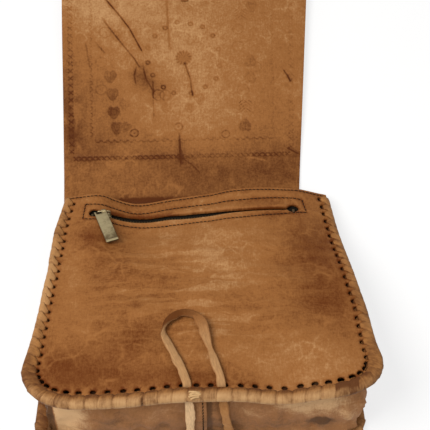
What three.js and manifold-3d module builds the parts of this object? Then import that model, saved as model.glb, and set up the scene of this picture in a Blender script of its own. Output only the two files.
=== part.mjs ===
// Hand-laced leather flap bag, lying on its back with the flap thrown open. Millimetres, +Z up.
// The origin is the middle of the back panel's outer face. +Y runs from the bottom edge to the flap.
import * as THREE from 'three';
import { mergeVertices } from 'three/addons/utils/BufferGeometryUtils.js';
import Module from 'manifold-3d';

// Panels: front and back are cut to one pattern, wider at the bottom than at the mouth.
const PANEL_LENGTH = 217; // mouth edge to bottom edge, along the leather
const MOUTH_WIDTH = 230;
const BASE_WIDTH = 286; // across the bottom, before the corners are rounded
const CORNER_REACH = 46; // length of each side that a bottom corner's curve takes up
const LEATHER = 2.4; // thickness of the panels and the flap
const BACK_SHIFT = -4; // the slack back lies this far left of the front

// How the empty bag lies: collapsed at the mouth, held up by its gusset at the bottom.
const MOUTH_HEIGHT = 19; // front panel's outer face above the ground at the mouth edge
const BASE_HEIGHT = 88; // the same at the bottom edge

// Gusset: one strip in two halves, lapped and sewn at the middle of the bottom.
const GUSSET_LEATHER = 2;
const RIM = 17; // laced rim outside the gusset wall
const LAP = 10; // overlap of the two halves
const LAP_EDGE = 1.5; // x of the outer half's raw edge
const LAP_SKIVE = 1.2; // thinned leather of the outer half's lap

// Edge lacing: a leather lace whipped round each rim through a row of punched holes.
const LACE_THICKNESS = 1.5;
const LACE_COVER = 8.5; // how far the lace reaches in over the rim
const HOLE_INSET = 11;
const HOLE_RADIUS = 1.3;
const HOLE_PITCH = 9;
const SPLICE_SIZE = new THREE.Vector3(11, 6, 2.2); // tuft where two lengths of lace are joined
const SPLICE_X = -6;
const SPLICE_INSET = 4.5;

// Closing thong: one lace makes the loop, and its two ends hang out under the bottom rim.
const THONG = 4.6; // diameter of the twisted thong
const SLIT = new THREE.Vector2(8, 3); // width and height of a slit in the panel
const SLIT_INSET = 12.5;
const SLIT_LEFT_X = -12.9;
const SLIT_RIGHT_X = 13.2;

// Zip pocket in the front panel, under the mouth hem.
const ZIP_DOWN = 20; // zip line below the mouth edge
const ZIP_CENTRE_X = -4.5;
const SLOT_LENGTH = 179;
const SLOT_WIDTH = 8;
const TEETH_WIDTH = 1.8; // one row
const TEETH_CHANNEL = 1.2; // room between the rows for the slider's blade
const TEETH_HEIGHT = 2;
const TEETH_BASE = -1.4; // underside of the teeth below the panel's inner face
const STOP_LENGTH = 2.5;
const STOP_MARGIN = 1.8; // end of the slot to the stop
const TAPE_WIDTH = 10.5;
const TAPE_THICKNESS = 0.7;
const LINING_DEPTH = 122;
const LINING_THICKNESS = 1.6;
const LINING_DROP = 4; // room for the slider between the panel and the lining

// Zip slider with its bail, and the pull that swings on it.
const SLIDER_LENGTH = 12;
const SLIDER_PLATE = 1.3;
const SLIDER_UNDERPLATE = new THREE.Vector2(9, 1.2); // width and thickness
const SLIDER_REST = 1.2; // gap left to the closed end's stop
const BLADE_THICKNESS = 0.6;
const BAIL_HEIGHT = 5; // axis of the bail above the panel's inner face
const BAIL_BAR = 1.5;
const BAIL_SPAN = 6.8; // between the middles of its two posts
const PULL_LENGTH = 36;
const PULL_WIDTH = 11;
const PULL_THICKNESS = 1.4;
const PULL_YAW = THREE.MathUtils.degToRad(15); // it lies askew
const KNUCKLE_WIDTH = 4.4;
const KNUCKLE_WALL = 0.9;

// Sewing thread
const THREAD = 0.8;
const HEM_INSET = 3; // mouth hem's stitches below the edge
const ZIP_FRAME_MARGIN = new THREE.Vector2(2.5, 4); // stitched frame beyond the slot's ends and sides

// Flap, cut in one with the back and folded at the mouth. It widens to its free end.
const FOLD_ROOT = 18; // leather between the mouth line and the turning part of the flap
const FLAP_LENGTH = 263; // mouth line to free end
const FLAP_ROOT_WIDTH = 209;
const FLAP_END_WIDTH = 240;
const FLAP_ROOT_X = -14.7; // middle of the flap where it starts
const FLAP_END_X = -8.4; // middle of its free end
const FLAP_CORNER = 24;

// Rolled leather toggle on the flap's outer face, under it while the bag is open.
const TOGGLE_REACH = 210; // mouth line to toggle
const TOGGLE_X = -8.7;
const TOGGLE_LENGTH = 30;
const TOGGLE_RADIUS = 4.25;
const WAIST_RADIUS = 3;
const WAIST_LENGTH = 7.2;
const TOGGLE_LACE_WIDTH = 6;
const TOGGLE_LACE = 0.9;

const CLEARANCE = 0.3; // between neighbouring pieces
const CURVE_STEPS = 8;

const slope = Math.asin((BASE_HEIGHT - MOUTH_HEIGHT) / PANEL_LENGTH);
const mouthY = PANEL_LENGTH / 2;

const leather = new THREE.MeshStandardMaterial({ color: 0xa8743f, roughness: 0.7 });
const rimLeather = new THREE.MeshStandardMaterial({ color: 0xb98a58, roughness: 0.8 });
const thongLeather = new THREE.MeshStandardMaterial({ color: 0xc9a06c, roughness: 0.85 });
const darkThread = new THREE.MeshStandardMaterial({ color: 0x2c1c10, roughness: 0.8 });
const antiqueBrass = new THREE.MeshStandardMaterial({ color: 0x8a7a52, roughness: 0.4, metalness: 1 });
const zipCloth = new THREE.MeshStandardMaterial({ color: 0x251c16, roughness: 0.9 });
const liningCloth = new THREE.MeshStandardMaterial({ color: 0x4a3524, roughness: 0.95 });

const wasm = await Module();
wasm.setup();

// A closed geometry as a solid that can be joined and cut.
function solid(geometry) {
  const bare = geometry.clone();
  for (const name of ['normal', 'uv']) bare.deleteAttribute(name);
  const merged = mergeVertices(bare.index ? bare.toNonIndexed() : bare, 1e-4);
  return new wasm.Manifold(new wasm.Mesh({
    numProp: 3,
    vertProperties: Float32Array.from(merged.attributes.position.array),
    triVerts: Uint32Array.from(merged.index.array),
  }));
}

function geometryOf(body) {
  const { vertProperties, triVerts } = body.getMesh();
  const geometry = new THREE.BufferGeometry();
  geometry.setAttribute('position', new THREE.BufferAttribute(vertProperties, 3));
  geometry.setIndex(new THREE.BufferAttribute(triVerts, 1));
  return geometry;
}

function join(...geometries) {
  return geometryOf(geometries.map(solid).reduce((whole, piece) => whole.add(piece)));
}

function cutAway(geometry, cutters) {
  return geometryOf(cutters.map(solid).reduce((whole, cutter) => whole.subtract(cutter), solid(geometry)));
}

function meet(a, b) {
  return geometryOf(solid(a).intersect(solid(b)));
}

function piece(name, geometry, material) {
  const mesh = new THREE.Mesh(geometry, material);
  mesh.name = name;
  return mesh;
}

// A plate of the shape's outline between two heights.
function plate(shape, low, high) {
  const geometry = new THREE.ExtrudeGeometry(shape, {
    depth: high - low, bevelEnabled: false, curveSegments: CURVE_STEPS,
  });
  return geometry.translate(0, 0, low);
}

function block(x0, x1, y0, y1, z0, z1) {
  return new THREE.BoxGeometry(x1 - x0, y1 - y0, z1 - z0)
    .translate((x0 + x1) / 2, (y0 + y1) / 2, (z0 + z1) / 2);
}

function rectangle(path, x0, x1, y0, y1) {
  return path.moveTo(x0, y0).lineTo(x1, y0).lineTo(x1, y1).lineTo(x0, y1).closePath();
}

// The panel pattern's edge from the left mouth corner round the bottom to the right mouth corner,
// moved in by inset. The mouth edge lies on y = 0.
function panelEdge(inset) {
  const flare = (BASE_WIDTH - MOUTH_WIDTH) / 2 / PANEL_LENGTH;
  const half = (y) => MOUTH_WIDTH / 2 - y * flare - inset * Math.hypot(1, flare);
  const base = inset - PANEL_LENGTH;
  const reach = CORNER_REACH - inset;
  const edge = new THREE.Path();
  edge.moveTo(-half(0), 0);
  edge.lineTo(-half(base + reach), base + reach);
  edge.quadraticCurveTo(-half(base), base, reach - half(base), base);
  edge.lineTo(half(base) - reach, base);
  edge.quadraticCurveTo(half(base), base, half(base + reach), base + reach);
  edge.lineTo(half(0), 0);
  return edge;
}

// The strip of the pattern between two insets, open at the mouth.
function edgeBand(outer, inner) {
  const inside = panelEdge(inner).getPoints(CURVE_STEPS).reverse();
  return new THREE.Shape([...panelEdge(outer).getPoints(CURVE_STEPS), ...inside]);
}

// The front panel's own frame: y = 0 at its mouth edge, z = 0 on its inner face.
const front = new THREE.Group();
front.rotation.x = -slope;
front.position.set(
  0,
  mouthY - LEATHER * Math.sin(slope),
  MOUTH_HEIGHT - LEATHER * Math.cos(slope),
);
front.updateMatrix();

// Front panel with the zip slot, the thong's two slits and the lacing holes.
const slitY = SLIT_INSET - PANEL_LENGTH;
const zipY = -ZIP_DOWN;
const slotLeft = ZIP_CENTRE_X - SLOT_LENGTH / 2;
const slotRight = ZIP_CENTRE_X + SLOT_LENGTH / 2;

// Middles of the punched holes, left out beside the thong's slits.
function lacingHoles() {
  const line = panelEdge(HOLE_INSET);
  const middles = line.getSpacedPoints(Math.round(line.getLength() / HOLE_PITCH));
  const keepClear = SLIT.x / 2 + HOLE_PITCH / 2;
  const bySlit = (point) => point.y < slitY + HOLE_PITCH
    && [SLIT_LEFT_X, SLIT_RIGHT_X].some((x) => Math.abs(point.x - x) < keepClear);
  return middles.slice(1, -1).filter((point) => !bySlit(point));
}

function frontPanel() {
  const through = LEATHER + CLEARANCE; // the cutters stand proud of both faces
  const end = SLOT_WIDTH / 2;
  const slot = new THREE.Shape();
  slot.absarc(slotLeft + end, zipY, end, Math.PI / 2, Math.PI * 1.5);
  slot.absarc(slotRight - end, zipY, end, -Math.PI / 2, Math.PI / 2);
  const slits = [SLIT_LEFT_X, SLIT_RIGHT_X].map((x) => block(x - SLIT.x / 2, x + SLIT.x / 2,
    slitY - SLIT.y / 2, slitY + SLIT.y / 2, -CLEARANCE, through));
  const punch = new THREE.CylinderGeometry(HOLE_RADIUS, HOLE_RADIUS, 3 * LEATHER, 6).rotateX(Math.PI / 2);
  const holes = lacingHoles().map(({ x, y }) => punch.clone().translate(x, y, 0));
  const panel = plate(new THREE.Shape(panelEdge(0).getPoints(CURVE_STEPS)), 0, LEATHER);
  return cutAway(panel, [plate(slot, -CLEARANCE, through), ...slits, ...holes]);
}

// Lace round the front rim: it covers the panel's rim, its edge and the gusset's flange below.
const laceOut = -CLEARANCE - LACE_THICKNESS;
const flangeLow = -CLEARANCE - GUSSET_LEATHER; // underside of the gusset's flange below the panel
const frontLaceTop = LEATHER + CLEARANCE + LACE_THICKNESS;

function frontLace() {
  const low = flangeLow - CLEARANCE - LACE_THICKNESS;
  return join(
    plate(edgeBand(laceOut, -CLEARANCE), low, frontLaceTop),
    plate(edgeBand(laceOut, LACE_COVER), LEATHER + CLEARANCE, frontLaceTop),
    plate(edgeBand(laceOut, LACE_COVER), low, flangeLow - CLEARANCE),
  );
}

function laceSplice() {
  return new THREE.SphereGeometry(0.5, 10, 6)
    .scale(SPLICE_SIZE.x, SPLICE_SIZE.y, SPLICE_SIZE.z)
    .translate(SPLICE_X, SPLICE_INSET - PANEL_LENGTH, frontLaceTop + CLEARANCE + SPLICE_SIZE.z / 2);
}

// Stitching: the thread of the mouth hem and of the frame round the zip.
const threadLow = LEATHER + CLEARANCE;

function hemThread() {
  const half = MOUTH_WIDTH / 2 - HOLE_INSET;
  return block(-half, half, -HEM_INSET - THREAD, -HEM_INSET, threadLow, threadLow + THREAD);
}

function zipFrameThread() {
  const half = new THREE.Vector2(SLOT_LENGTH, SLOT_WIDTH).divideScalar(2).add(ZIP_FRAME_MARGIN);
  const frame = rectangle(new THREE.Shape(), ZIP_CENTRE_X - half.x, ZIP_CENTRE_X + half.x,
    zipY - half.y, zipY + half.y);
  half.subScalar(THREAD);
  frame.holes.push(rectangle(new THREE.Path(), ZIP_CENTRE_X - half.x, ZIP_CENTRE_X + half.x,
    zipY - half.y, zipY + half.y));
  return plate(frame, threadLow, threadLow + THREAD);
}

// Zip: two tapes sewn under the slot, a row of teeth on each, a stop at each end.
const stopLeft = slotLeft + STOP_MARGIN;
const stopRight = slotRight - STOP_MARGIN;
const teethLeft = stopLeft + STOP_LENGTH + CLEARANCE;
const teethRight = stopRight - STOP_LENGTH - CLEARANCE;
const teethTop = TEETH_BASE + TEETH_HEIGHT;
const teethOut = TEETH_CHANNEL / 2 + TEETH_WIDTH;
const tapeIn = teethOut + CLEARANCE;
const tapeOut = tapeIn + TAPE_WIDTH;
const tapeLow = -CLEARANCE - TAPE_THICKNESS;

// One side of the zip, above or below its line.
function zipSide(side, near, far, x0, x1, z0, z1) {
  const a = zipY + side * near;
  const b = zipY + side * far;
  return block(x0, x1, Math.min(a, b), Math.max(a, b), z0, z1);
}

function zipTape(side) {
  return zipSide(side, tapeIn, tapeOut, slotLeft, slotRight, tapeLow, -CLEARANCE);
}

function zipTeeth(side) {
  return zipSide(side, TEETH_CHANNEL / 2, teethOut, teethLeft, teethRight, TEETH_BASE, teethTop);
}

function zipStop(x) {
  return block(x, x + STOP_LENGTH, zipY - teethOut, zipY + teethOut, TEETH_BASE, teethTop);
}

// Pocket lining: a flat cloth bag, sewn up to the outer edge of both tapes.
function pocketLining() {
  const seam = tapeOut - 4;
  const low = -LINING_DROP - LINING_THICKNESS;
  const top = tapeLow - CLEARANCE;
  return join(
    block(slotLeft, slotRight, zipY + tapeOut - LINING_DEPTH, zipY + tapeOut, low, -LINING_DROP),
    zipSide(1, seam, tapeOut, slotLeft, slotRight, low, top),
    zipSide(-1, seam, tapeOut, slotLeft, slotRight, low, top),
  );
}

// Slider: a plate over the teeth and one under them, joined by a blade, with a bail on top.
const sliderX = teethLeft + SLIDER_REST + SLIDER_LENGTH / 2;

function zipSlider() {
  const half = SLIDER_LENGTH / 2;
  const bladeHalf = BLADE_THICKNESS / 2;
  const plateHalf = SLOT_WIDTH / 2 - 2 * CLEARANCE;
  const plateLow = teethTop + CLEARANCE;
  const plateHigh = plateLow + SLIDER_PLATE;
  const underHalf = SLIDER_UNDERPLATE.x / 2;
  const underHigh = TEETH_BASE - 2 * CLEARANCE;
  const underLow = underHigh - SLIDER_UNDERPLATE.y;
  const barHalf = BAIL_BAR / 2;
  const sink = 0.2; // how far the joined bodies reach into one another
  const bar = new THREE.CylinderGeometry(barHalf, barHalf, BAIL_SPAN, 12).rotateZ(Math.PI / 2)
    .translate(sliderX, zipY, BAIL_HEIGHT);
  const post = (x) => block(x - barHalf, x + barHalf, zipY - barHalf, zipY + barHalf,
    plateHigh - sink, BAIL_HEIGHT + barHalf);
  return join(
    block(sliderX - half, sliderX + half, zipY - plateHalf, zipY + plateHalf, plateLow, plateHigh),
    block(sliderX - half, sliderX, zipY - bladeHalf, zipY + bladeHalf, underHigh - sink, plateLow + sink),
    block(sliderX - half, sliderX + half, zipY - underHalf, zipY + underHalf, underLow, underHigh),
    post(sliderX - BAIL_SPAN / 2),
    post(sliderX + BAIL_SPAN / 2),
    bar,
  );
}

// Pull: a stamped strip whose end is rolled into a knuckle round the bail. It rests on the panel.
function zipPull() {
  const bore = BAIL_BAR / 2 + CLEARANCE;
  const ring = new THREE.Shape().absarc(0, 0, bore + KNUCKLE_WALL, 0, Math.PI * 2);
  ring.holes.push(new THREE.Path().absarc(0, 0, bore, 0, Math.PI * 2, true));
  const knuckle = plate(ring, -KNUCKLE_WIDTH / 2, KNUCKLE_WIDTH / 2).rotateY(Math.PI / 2);
  const neck = bore + KNUCKLE_WALL / 2;
  const shoulder = bore + 2 * KNUCKLE_WALL + BAIL_BAR;
  const outline = new THREE.Shape();
  outline.moveTo(-KNUCKLE_WIDTH / 2, -neck);
  outline.lineTo(-KNUCKLE_WIDTH / 2, -shoulder);
  outline.lineTo(-PULL_WIDTH / 2, -shoulder);
  outline.lineTo(-PULL_WIDTH / 2, -PULL_LENGTH);
  outline.lineTo(PULL_WIDTH / 2, -PULL_LENGTH);
  outline.lineTo(PULL_WIDTH / 2, -shoulder);
  outline.lineTo(KNUCKLE_WIDTH / 2, -shoulder);
  outline.lineTo(KNUCKLE_WIDTH / 2, -neck);
  const strip = plate(outline, -PULL_THICKNESS / 2, PULL_THICKNESS / 2);
  const drop = BAIL_HEIGHT - LEATHER - CLEARANCE - PULL_THICKNESS / 2;
  return join(knuckle, strip.rotateZ(PULL_YAW))
    .rotateX(Math.asin(drop / (PULL_LENGTH + PULL_WIDTH / 2)))
    .translate(sliderX, zipY, BAIL_HEIGHT);
}

// A thong laid along the points: a round section swept along one smooth curve.
function thong(points, steps) {
  const section = new THREE.Shape().absarc(0, 0, THONG / 2, 0, Math.PI * 2);
  return new THREE.ExtrudeGeometry(section, {
    extrudePath: new THREE.CatmullRomCurve3(points), steps, curveSegments: 5, bevelEnabled: false,
  });
}

// The closing loop in the front panel's frame: x, distance above the slits, and the middle's height
// above the panel's outer face.
const loopRoute = [
  [-12.9, 1, 2.7], [-15.5, 9.5, 3.2], [-19.2, 19, 3.6], [-22.2, 26, 4], [-24.6, 31.9, 4.3],
  [-27.4, 38, 4.5], [-29.3, 43.7, 4.6], [-30.2, 49.5, 4.6], [-30, 55, 4.4], [-28.2, 60.1, 4.1],
  [-25.5, 64.5, 3.8], [-22.2, 67.9, 3.5], [-18.5, 70.8, 3.3], [-14.5, 72.2, 3.2], [-10.3, 71.5, 3.2],
  [-6.4, 68.9, 3.3], [-3, 65.5, 3.5], [-0.3, 61.2, 3.8], [1.2, 56.2, 4.1], [2.3, 50.5, 4.4],
  [3.8, 44, 4.6], [5.3, 37.5, 4.6], [6.9, 30.5, 4.4], [8.5, 23.5, 4.1], [10.1, 16, 3.7],
  [11.8, 8.5, 3.2], [13.2, 1, 2.7],
];

// The two ends in the bag's frame: out under the rim, down the gusset and on to the ground.
const leftEndRoute = [
  [-12.3, -87, 79.2], [-12, -88.4, 75.2], [-11.6, -91.4, 70.6], [-11.3, -95.6, 64.6], [-11.3, -98.5, 57],
  [-11.4, -100, 49],
  [-11.5, -101, 41], [-11.6, -101.8, 33], [-11.7, -102.5, 25.5], [-11.9, -104, 18.5], [-12.1, -107, 12.8],
  [-12.4, -112, 9.6], [-12.7, -117, 6.4], [-13, -122, 3.8], [-13.4, -128, 2.8], [-13.8, -134.5, 2.6],
];
const rightEndRoute = [
  [13.6, -87, 79.2], [13.9, -88.4, 75.2], [14.5, -91.4, 70.6], [15.2, -95.6, 64.6], [15.9, -98.5, 57],
  [16.6, -100, 49],
  [17.4, -101, 41], [18.2, -101.8, 33], [19, -102.5, 25.5], [19.8, -104, 18.5], [20.5, -107, 12.8],
  [21.3, -112, 9.6], [22.2, -117, 6.4], [23.2, -122, 3.8], [24.4, -128, 2.8], [25.7, -134.5, 2.6],
];

const atPanel = ([x, up, rise]) => new THREE.Vector3(x, slitY + up, LEATHER + rise);
const atGround = ([x, y, z]) => new THREE.Vector3(x, y, z);

// Back panel: the same pattern flat on the ground, running on past the mouth to the flap.
const rootLeft = FLAP_ROOT_X - FLAP_ROOT_WIDTH / 2;
const rootRight = FLAP_ROOT_X + FLAP_ROOT_WIDTH / 2;
const toBack = new THREE.Vector2(BACK_SHIFT, mouthY);
const flapStart = mouthY + FOLD_ROOT;

function backPanel() {
  const outline = panelEdge(0).getPoints(CURVE_STEPS).map((point) => point.add(toBack));
  const foldEnd = flapStart - CLEARANCE;
  outline.push(new THREE.Vector2(rootRight, mouthY), new THREE.Vector2(rootRight, foldEnd),
    new THREE.Vector2(rootLeft, foldEnd), new THREE.Vector2(rootLeft, mouthY));
  return plate(new THREE.Shape(outline), 0, LEATHER);
}

// Gusset: a flange under each panel's rim and an upright wall between them.
const flangeBase = LEATHER + CLEARANCE;
const wallInner = RIM + GUSSET_LEATHER;
const wallY = front.position.y + (RIM - PANEL_LENGTH) * Math.cos(slope);
const toPlan = ({ x, y }) => new THREE.Vector2(x, front.position.y + y * Math.cos(slope));
const backEdge = (inset) => panelEdge(inset).getPoints(CURVE_STEPS).map((point) => point.add(toBack));
const planEdge = (inset) => panelEdge(inset).getPoints(CURVE_STEPS).map(toPlan);

function wholeGusset() {
  const ring = new THREE.Shape([...planEdge(RIM), ...planEdge(wallInner).reverse()]);
  const upright = plate(ring, flangeBase, BASE_HEIGHT);
  const underPanel = block(-BASE_WIDTH, BASE_WIDTH, -2 * PANEL_LENGTH, PANEL_LENGTH,
    -2 * BASE_HEIGHT, -CLEARANCE - GUSSET_LEATHER / 2).applyMatrix4(front.matrix);
  const overlap = GUSSET_LEATHER / 2;
  const flange = plate(edgeBand(0, wallInner + overlap), flangeLow, -CLEARANCE).applyMatrix4(front.matrix);
  const foot = new THREE.Shape([...backEdge(0), ...planEdge(wallInner + overlap).reverse()]);
  return join(meet(upright, underPanel), flange, plate(foot, flangeBase, flangeBase + GUSSET_LEATHER));
}

const lapStart = LAP_EDGE - LAP;
const lapOuter = wallY - CLEARANCE - LAP_SKIVE;
const lapLow = flangeBase + GUSSET_LEATHER + CLEARANCE;
const lapHigh = front.position.z + (PANEL_LENGTH - RIM) * Math.sin(slope) + (flangeLow - 1) * Math.cos(slope);

function gussetHalves() {
  const whole = wholeGusset();
  const cut = (x0, x1) => meet(whole, block(x0, x1, -PANEL_LENGTH, PANEL_LENGTH, 0, 2 * BASE_HEIGHT));
  const turn = block(lapStart - LAP / 2, lapStart - CLEARANCE / 2, lapOuter, wallY + GUSSET_LEATHER / 2,
    lapLow, lapHigh);
  const tongue = block(lapStart - LAP / 2, LAP_EDGE, lapOuter, wallY - CLEARANCE, lapLow, lapHigh);
  return {
    left: join(cut(-BASE_WIDTH, lapStart - CLEARANCE / 2), turn, tongue),
    right: cut(lapStart + CLEARANCE / 2, BASE_WIDTH),
  };
}

function gussetThread() {
  const x = LAP_EDGE - HEM_INSET;
  const face = lapOuter - CLEARANCE;
  return block(x, x + THREAD, face - THREAD, face, lapLow + HEM_INSET, lapHigh - HEM_INSET);
}

// Lace round the back rim. The ground presses it flat, so it has no turn under the panel.
function backLace() {
  const top = flangeBase + GUSSET_LEATHER + CLEARANCE;
  const web = plate(edgeBand(laceOut, -CLEARANCE), 0, top + LACE_THICKNESS);
  const leg = plate(edgeBand(laceOut, LACE_COVER), top, top + LACE_THICKNESS);
  return join(web, leg).translate(toBack.x, toBack.y, 0);
}

// Flap, toggle and toggle lace in the flap's own frame: y = 0 at its turning edge, z = 0 on its outer
// face. Its free end rests on the toggle.
const toggleY = TOGGLE_REACH - FOLD_ROOT;
const toggleZ = -TOGGLE_RADIUS - CLEARANCE;
const flap = new THREE.Group();
flap.position.set(0, flapStart, CLEARANCE);
flap.rotation.x = Math.asin((TOGGLE_RADIUS - toggleZ - CLEARANCE) / toggleY);

const laceHoleIn = WAIST_RADIUS + CLEARANCE;
const laceHoleOut = laceHoleIn + TOGGLE_LACE;

function flapLeather() {
  const length = FLAP_LENGTH - FOLD_ROOT;
  const endLeft = FLAP_END_X - FLAP_END_WIDTH / 2;
  const endRight = FLAP_END_X + FLAP_END_WIDTH / 2;
  const shape = new THREE.Shape();
  shape.moveTo(rootLeft, 0);
  shape.lineTo(rootRight, 0);
  shape.lineTo(endRight, length - FLAP_CORNER);
  shape.quadraticCurveTo(endRight, length, endRight - FLAP_CORNER, length);
  shape.lineTo(endLeft + FLAP_CORNER, length);
  shape.quadraticCurveTo(endLeft, length, endLeft, length - FLAP_CORNER);
  shape.closePath();
  const half = TOGGLE_LACE_WIDTH / 2 + CLEARANCE;
  for (const side of [-1, 1]) {
    const near = toggleY + side * (laceHoleIn - CLEARANCE);
    const far = toggleY + side * (laceHoleOut + CLEARANCE);
    shape.holes.push(rectangle(new THREE.Path(), TOGGLE_X - half, TOGGLE_X + half, near, far));
  }
  return plate(shape, 0, LEATHER);
}

function toggle() {
  const half = TOGGLE_LENGTH / 2;
  const waist = WAIST_LENGTH / 2;
  const profile = [[0, -half], [TOGGLE_RADIUS, -half], [TOGGLE_RADIUS, -waist], [WAIST_RADIUS, -waist],
    [WAIST_RADIUS, waist], [TOGGLE_RADIUS, waist], [TOGGLE_RADIUS, half], [0, half]];
  return new THREE.LatheGeometry(profile.map(([r, x]) => new THREE.Vector2(r, x)), 16)
    .rotateZ(Math.PI / 2).translate(TOGGLE_X, toggleY, toggleZ);
}

// The lace runs round the toggle's waist, up through two slits and over the flap's inner face.
function toggleLace() {
  const arch = (path, radius, top) => path.moveTo(radius, top).lineTo(-radius, top)
    .lineTo(-radius, toggleZ).absarc(0, toggleZ, radius, Math.PI, Math.PI * 2).closePath();
  const bridge = LEATHER + CLEARANCE;
  const shape = arch(new THREE.Shape(), laceHoleOut, bridge + TOGGLE_LACE);
  shape.holes.push(arch(new THREE.Path(), laceHoleIn, bridge));
  return plate(shape, -TOGGLE_LACE_WIDTH / 2, TOGGLE_LACE_WIDTH / 2)
    .rotateX(Math.PI / 2).rotateZ(Math.PI / 2).translate(TOGGLE_X, toggleY, 0);
}

const gusset = gussetHalves();

front.add(
  piece('front_panel', frontPanel(), leather),
  piece('front_edge_lace', frontLace(), rimLeather),
  piece('lace_splice', laceSplice(), rimLeather),
  piece('hem_thread', hemThread(), darkThread),
  piece('zip_frame_thread', zipFrameThread(), darkThread),
  piece('zip_tape_upper', zipTape(1), zipCloth),
  piece('zip_tape_lower', zipTape(-1), zipCloth),
  piece('zip_teeth_upper', zipTeeth(1), antiqueBrass),
  piece('zip_teeth_lower', zipTeeth(-1), antiqueBrass),
  piece('zip_stop_closed_end', zipStop(stopLeft), antiqueBrass),
  piece('zip_stop_open_end', zipStop(stopRight - STOP_LENGTH), antiqueBrass),
  piece('zip_slider', zipSlider(), antiqueBrass),
  piece('zip_pull', zipPull(), antiqueBrass),
  piece('pocket_lining', pocketLining(), liningCloth),
  piece('closing_loop', thong(loopRoute.map(atPanel), 40), thongLeather),
);

flap.add(
  piece('flap', flapLeather(), leather),
  piece('toggle', toggle(), leather),
  piece('toggle_lace', toggleLace(), thongLeather),
);

const bag = new THREE.Group();
bag.add(
  piece('back_panel', backPanel(), leather),
  piece('back_edge_lace', backLace(), rimLeather),
  piece('gusset_left', gusset.left, leather),
  piece('gusset_right', gusset.right, leather),
  piece('gusset_thread', gussetThread(), darkThread),
  piece('loop_end_left', thong(leftEndRoute.map(atGround), 24), thongLeather),
  piece('loop_end_right', thong(rightEndRoute.map(atGround), 24), thongLeather),
  front,
  flap,
);

export default bag;
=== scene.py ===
import math

import bpy
import numpy as np
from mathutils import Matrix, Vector, geometry, kdtree


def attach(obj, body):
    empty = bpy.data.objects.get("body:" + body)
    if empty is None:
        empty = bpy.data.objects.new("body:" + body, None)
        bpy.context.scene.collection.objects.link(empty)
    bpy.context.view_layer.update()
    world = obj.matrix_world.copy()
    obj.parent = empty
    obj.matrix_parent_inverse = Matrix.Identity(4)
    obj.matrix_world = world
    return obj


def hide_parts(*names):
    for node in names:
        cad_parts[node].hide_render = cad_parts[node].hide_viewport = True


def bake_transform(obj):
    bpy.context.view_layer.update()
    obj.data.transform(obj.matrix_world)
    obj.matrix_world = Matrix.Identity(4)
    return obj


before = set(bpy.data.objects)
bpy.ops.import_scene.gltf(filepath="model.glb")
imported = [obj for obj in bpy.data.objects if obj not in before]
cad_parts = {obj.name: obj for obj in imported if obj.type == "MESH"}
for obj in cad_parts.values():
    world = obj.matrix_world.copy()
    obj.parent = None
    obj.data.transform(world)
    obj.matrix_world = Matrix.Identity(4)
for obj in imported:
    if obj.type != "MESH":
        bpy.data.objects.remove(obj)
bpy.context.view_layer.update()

# Studio: a white floor under the bag, a large soft lamp up on the left, a weak one on the right and
# a pale room. The camera stands over the bag's bottom end and looks down on it.
CAMERA_AIM = Vector((0.0136, 0.0967, 0.0))
CAMERA_DISTANCE = 1.0806
CAMERA_ELEVATION = math.radians(65.57)
CAMERA_AZIMUTH = math.radians(-1.65)
CAMERA_LENS = 102.5
CAMERA_FILM = 36.0
LAMP_AIM = Vector((0, 0.05, 0.03))
WHITE = (1, 1, 1, 1)
FLOOR_HALF = 3.0
FLOOR_GREY = 0.9
SHADOW_HIDDEN = 0.72
ROOM_LIGHT = 0.5

scene = bpy.context.scene
scene.view_settings.view_transform = "Standard"


def add_node(tree, kind, inputs=None, **settings):
    """Adds a shader node; an input given another node's output is linked to it."""
    made = tree.nodes.new("ShaderNode" + kind)
    for name, value in settings.items():
        setattr(made, name, value)
    for name, value in (inputs or {}).items():
        if isinstance(value, bpy.types.NodeSocket):
            tree.links.new(value, made.inputs[name])
        else:
            made.inputs[name].default_value = value
    return made


def add_lamp(name, place, size, power, colour):
    """A square soft lamp that looks at the bag."""
    lamp = bpy.data.lights.new(name, "AREA")
    lamp.size = size
    lamp.energy = power
    lamp.color = colour
    made = bpy.data.objects.new(name, lamp)
    made.location = place
    made.rotation_euler = (LAMP_AIM - Vector(place)).to_track_quat("-Z", "Y").to_euler()
    scene.collection.objects.link(made)


def seen_directly(tree):
    """1 where a camera, mirror or glass ray looks at the surface, and 0 for the light it gives."""
    path = add_node(tree, "LightPath")
    seen = path.outputs["Is Camera Ray"]
    for ray in ("Is Glossy Ray", "Is Transmission Ray"):
        seen = add_node(tree, "Math", {0: seen, 1: path.outputs[ray]}, operation="MAXIMUM").outputs[0]
    return seen


camera = bpy.data.objects.new("camera", bpy.data.cameras.new("camera"))
back_to_camera = Vector((
    math.sin(CAMERA_AZIMUTH) * math.cos(CAMERA_ELEVATION),
    -math.cos(CAMERA_AZIMUTH) * math.cos(CAMERA_ELEVATION),
    math.sin(CAMERA_ELEVATION),
))
camera.location = CAMERA_AIM + back_to_camera * CAMERA_DISTANCE
camera.rotation_euler = (-back_to_camera).to_track_quat("-Z", "Y").to_euler()
camera.data.lens = CAMERA_LENS
camera.data.sensor_width = CAMERA_FILM
scene.collection.objects.link(camera)
scene.camera = camera

add_lamp("key_lamp", (-0.65, -0.15, 1.35), size=0.7, power=19.0, colour=(1.0, 0.97, 0.93))
add_lamp("fill_lamp", (0.9, -0.7, 1.2), size=1.2, power=4.0, colour=(0.97, 0.98, 1.0))

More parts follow.
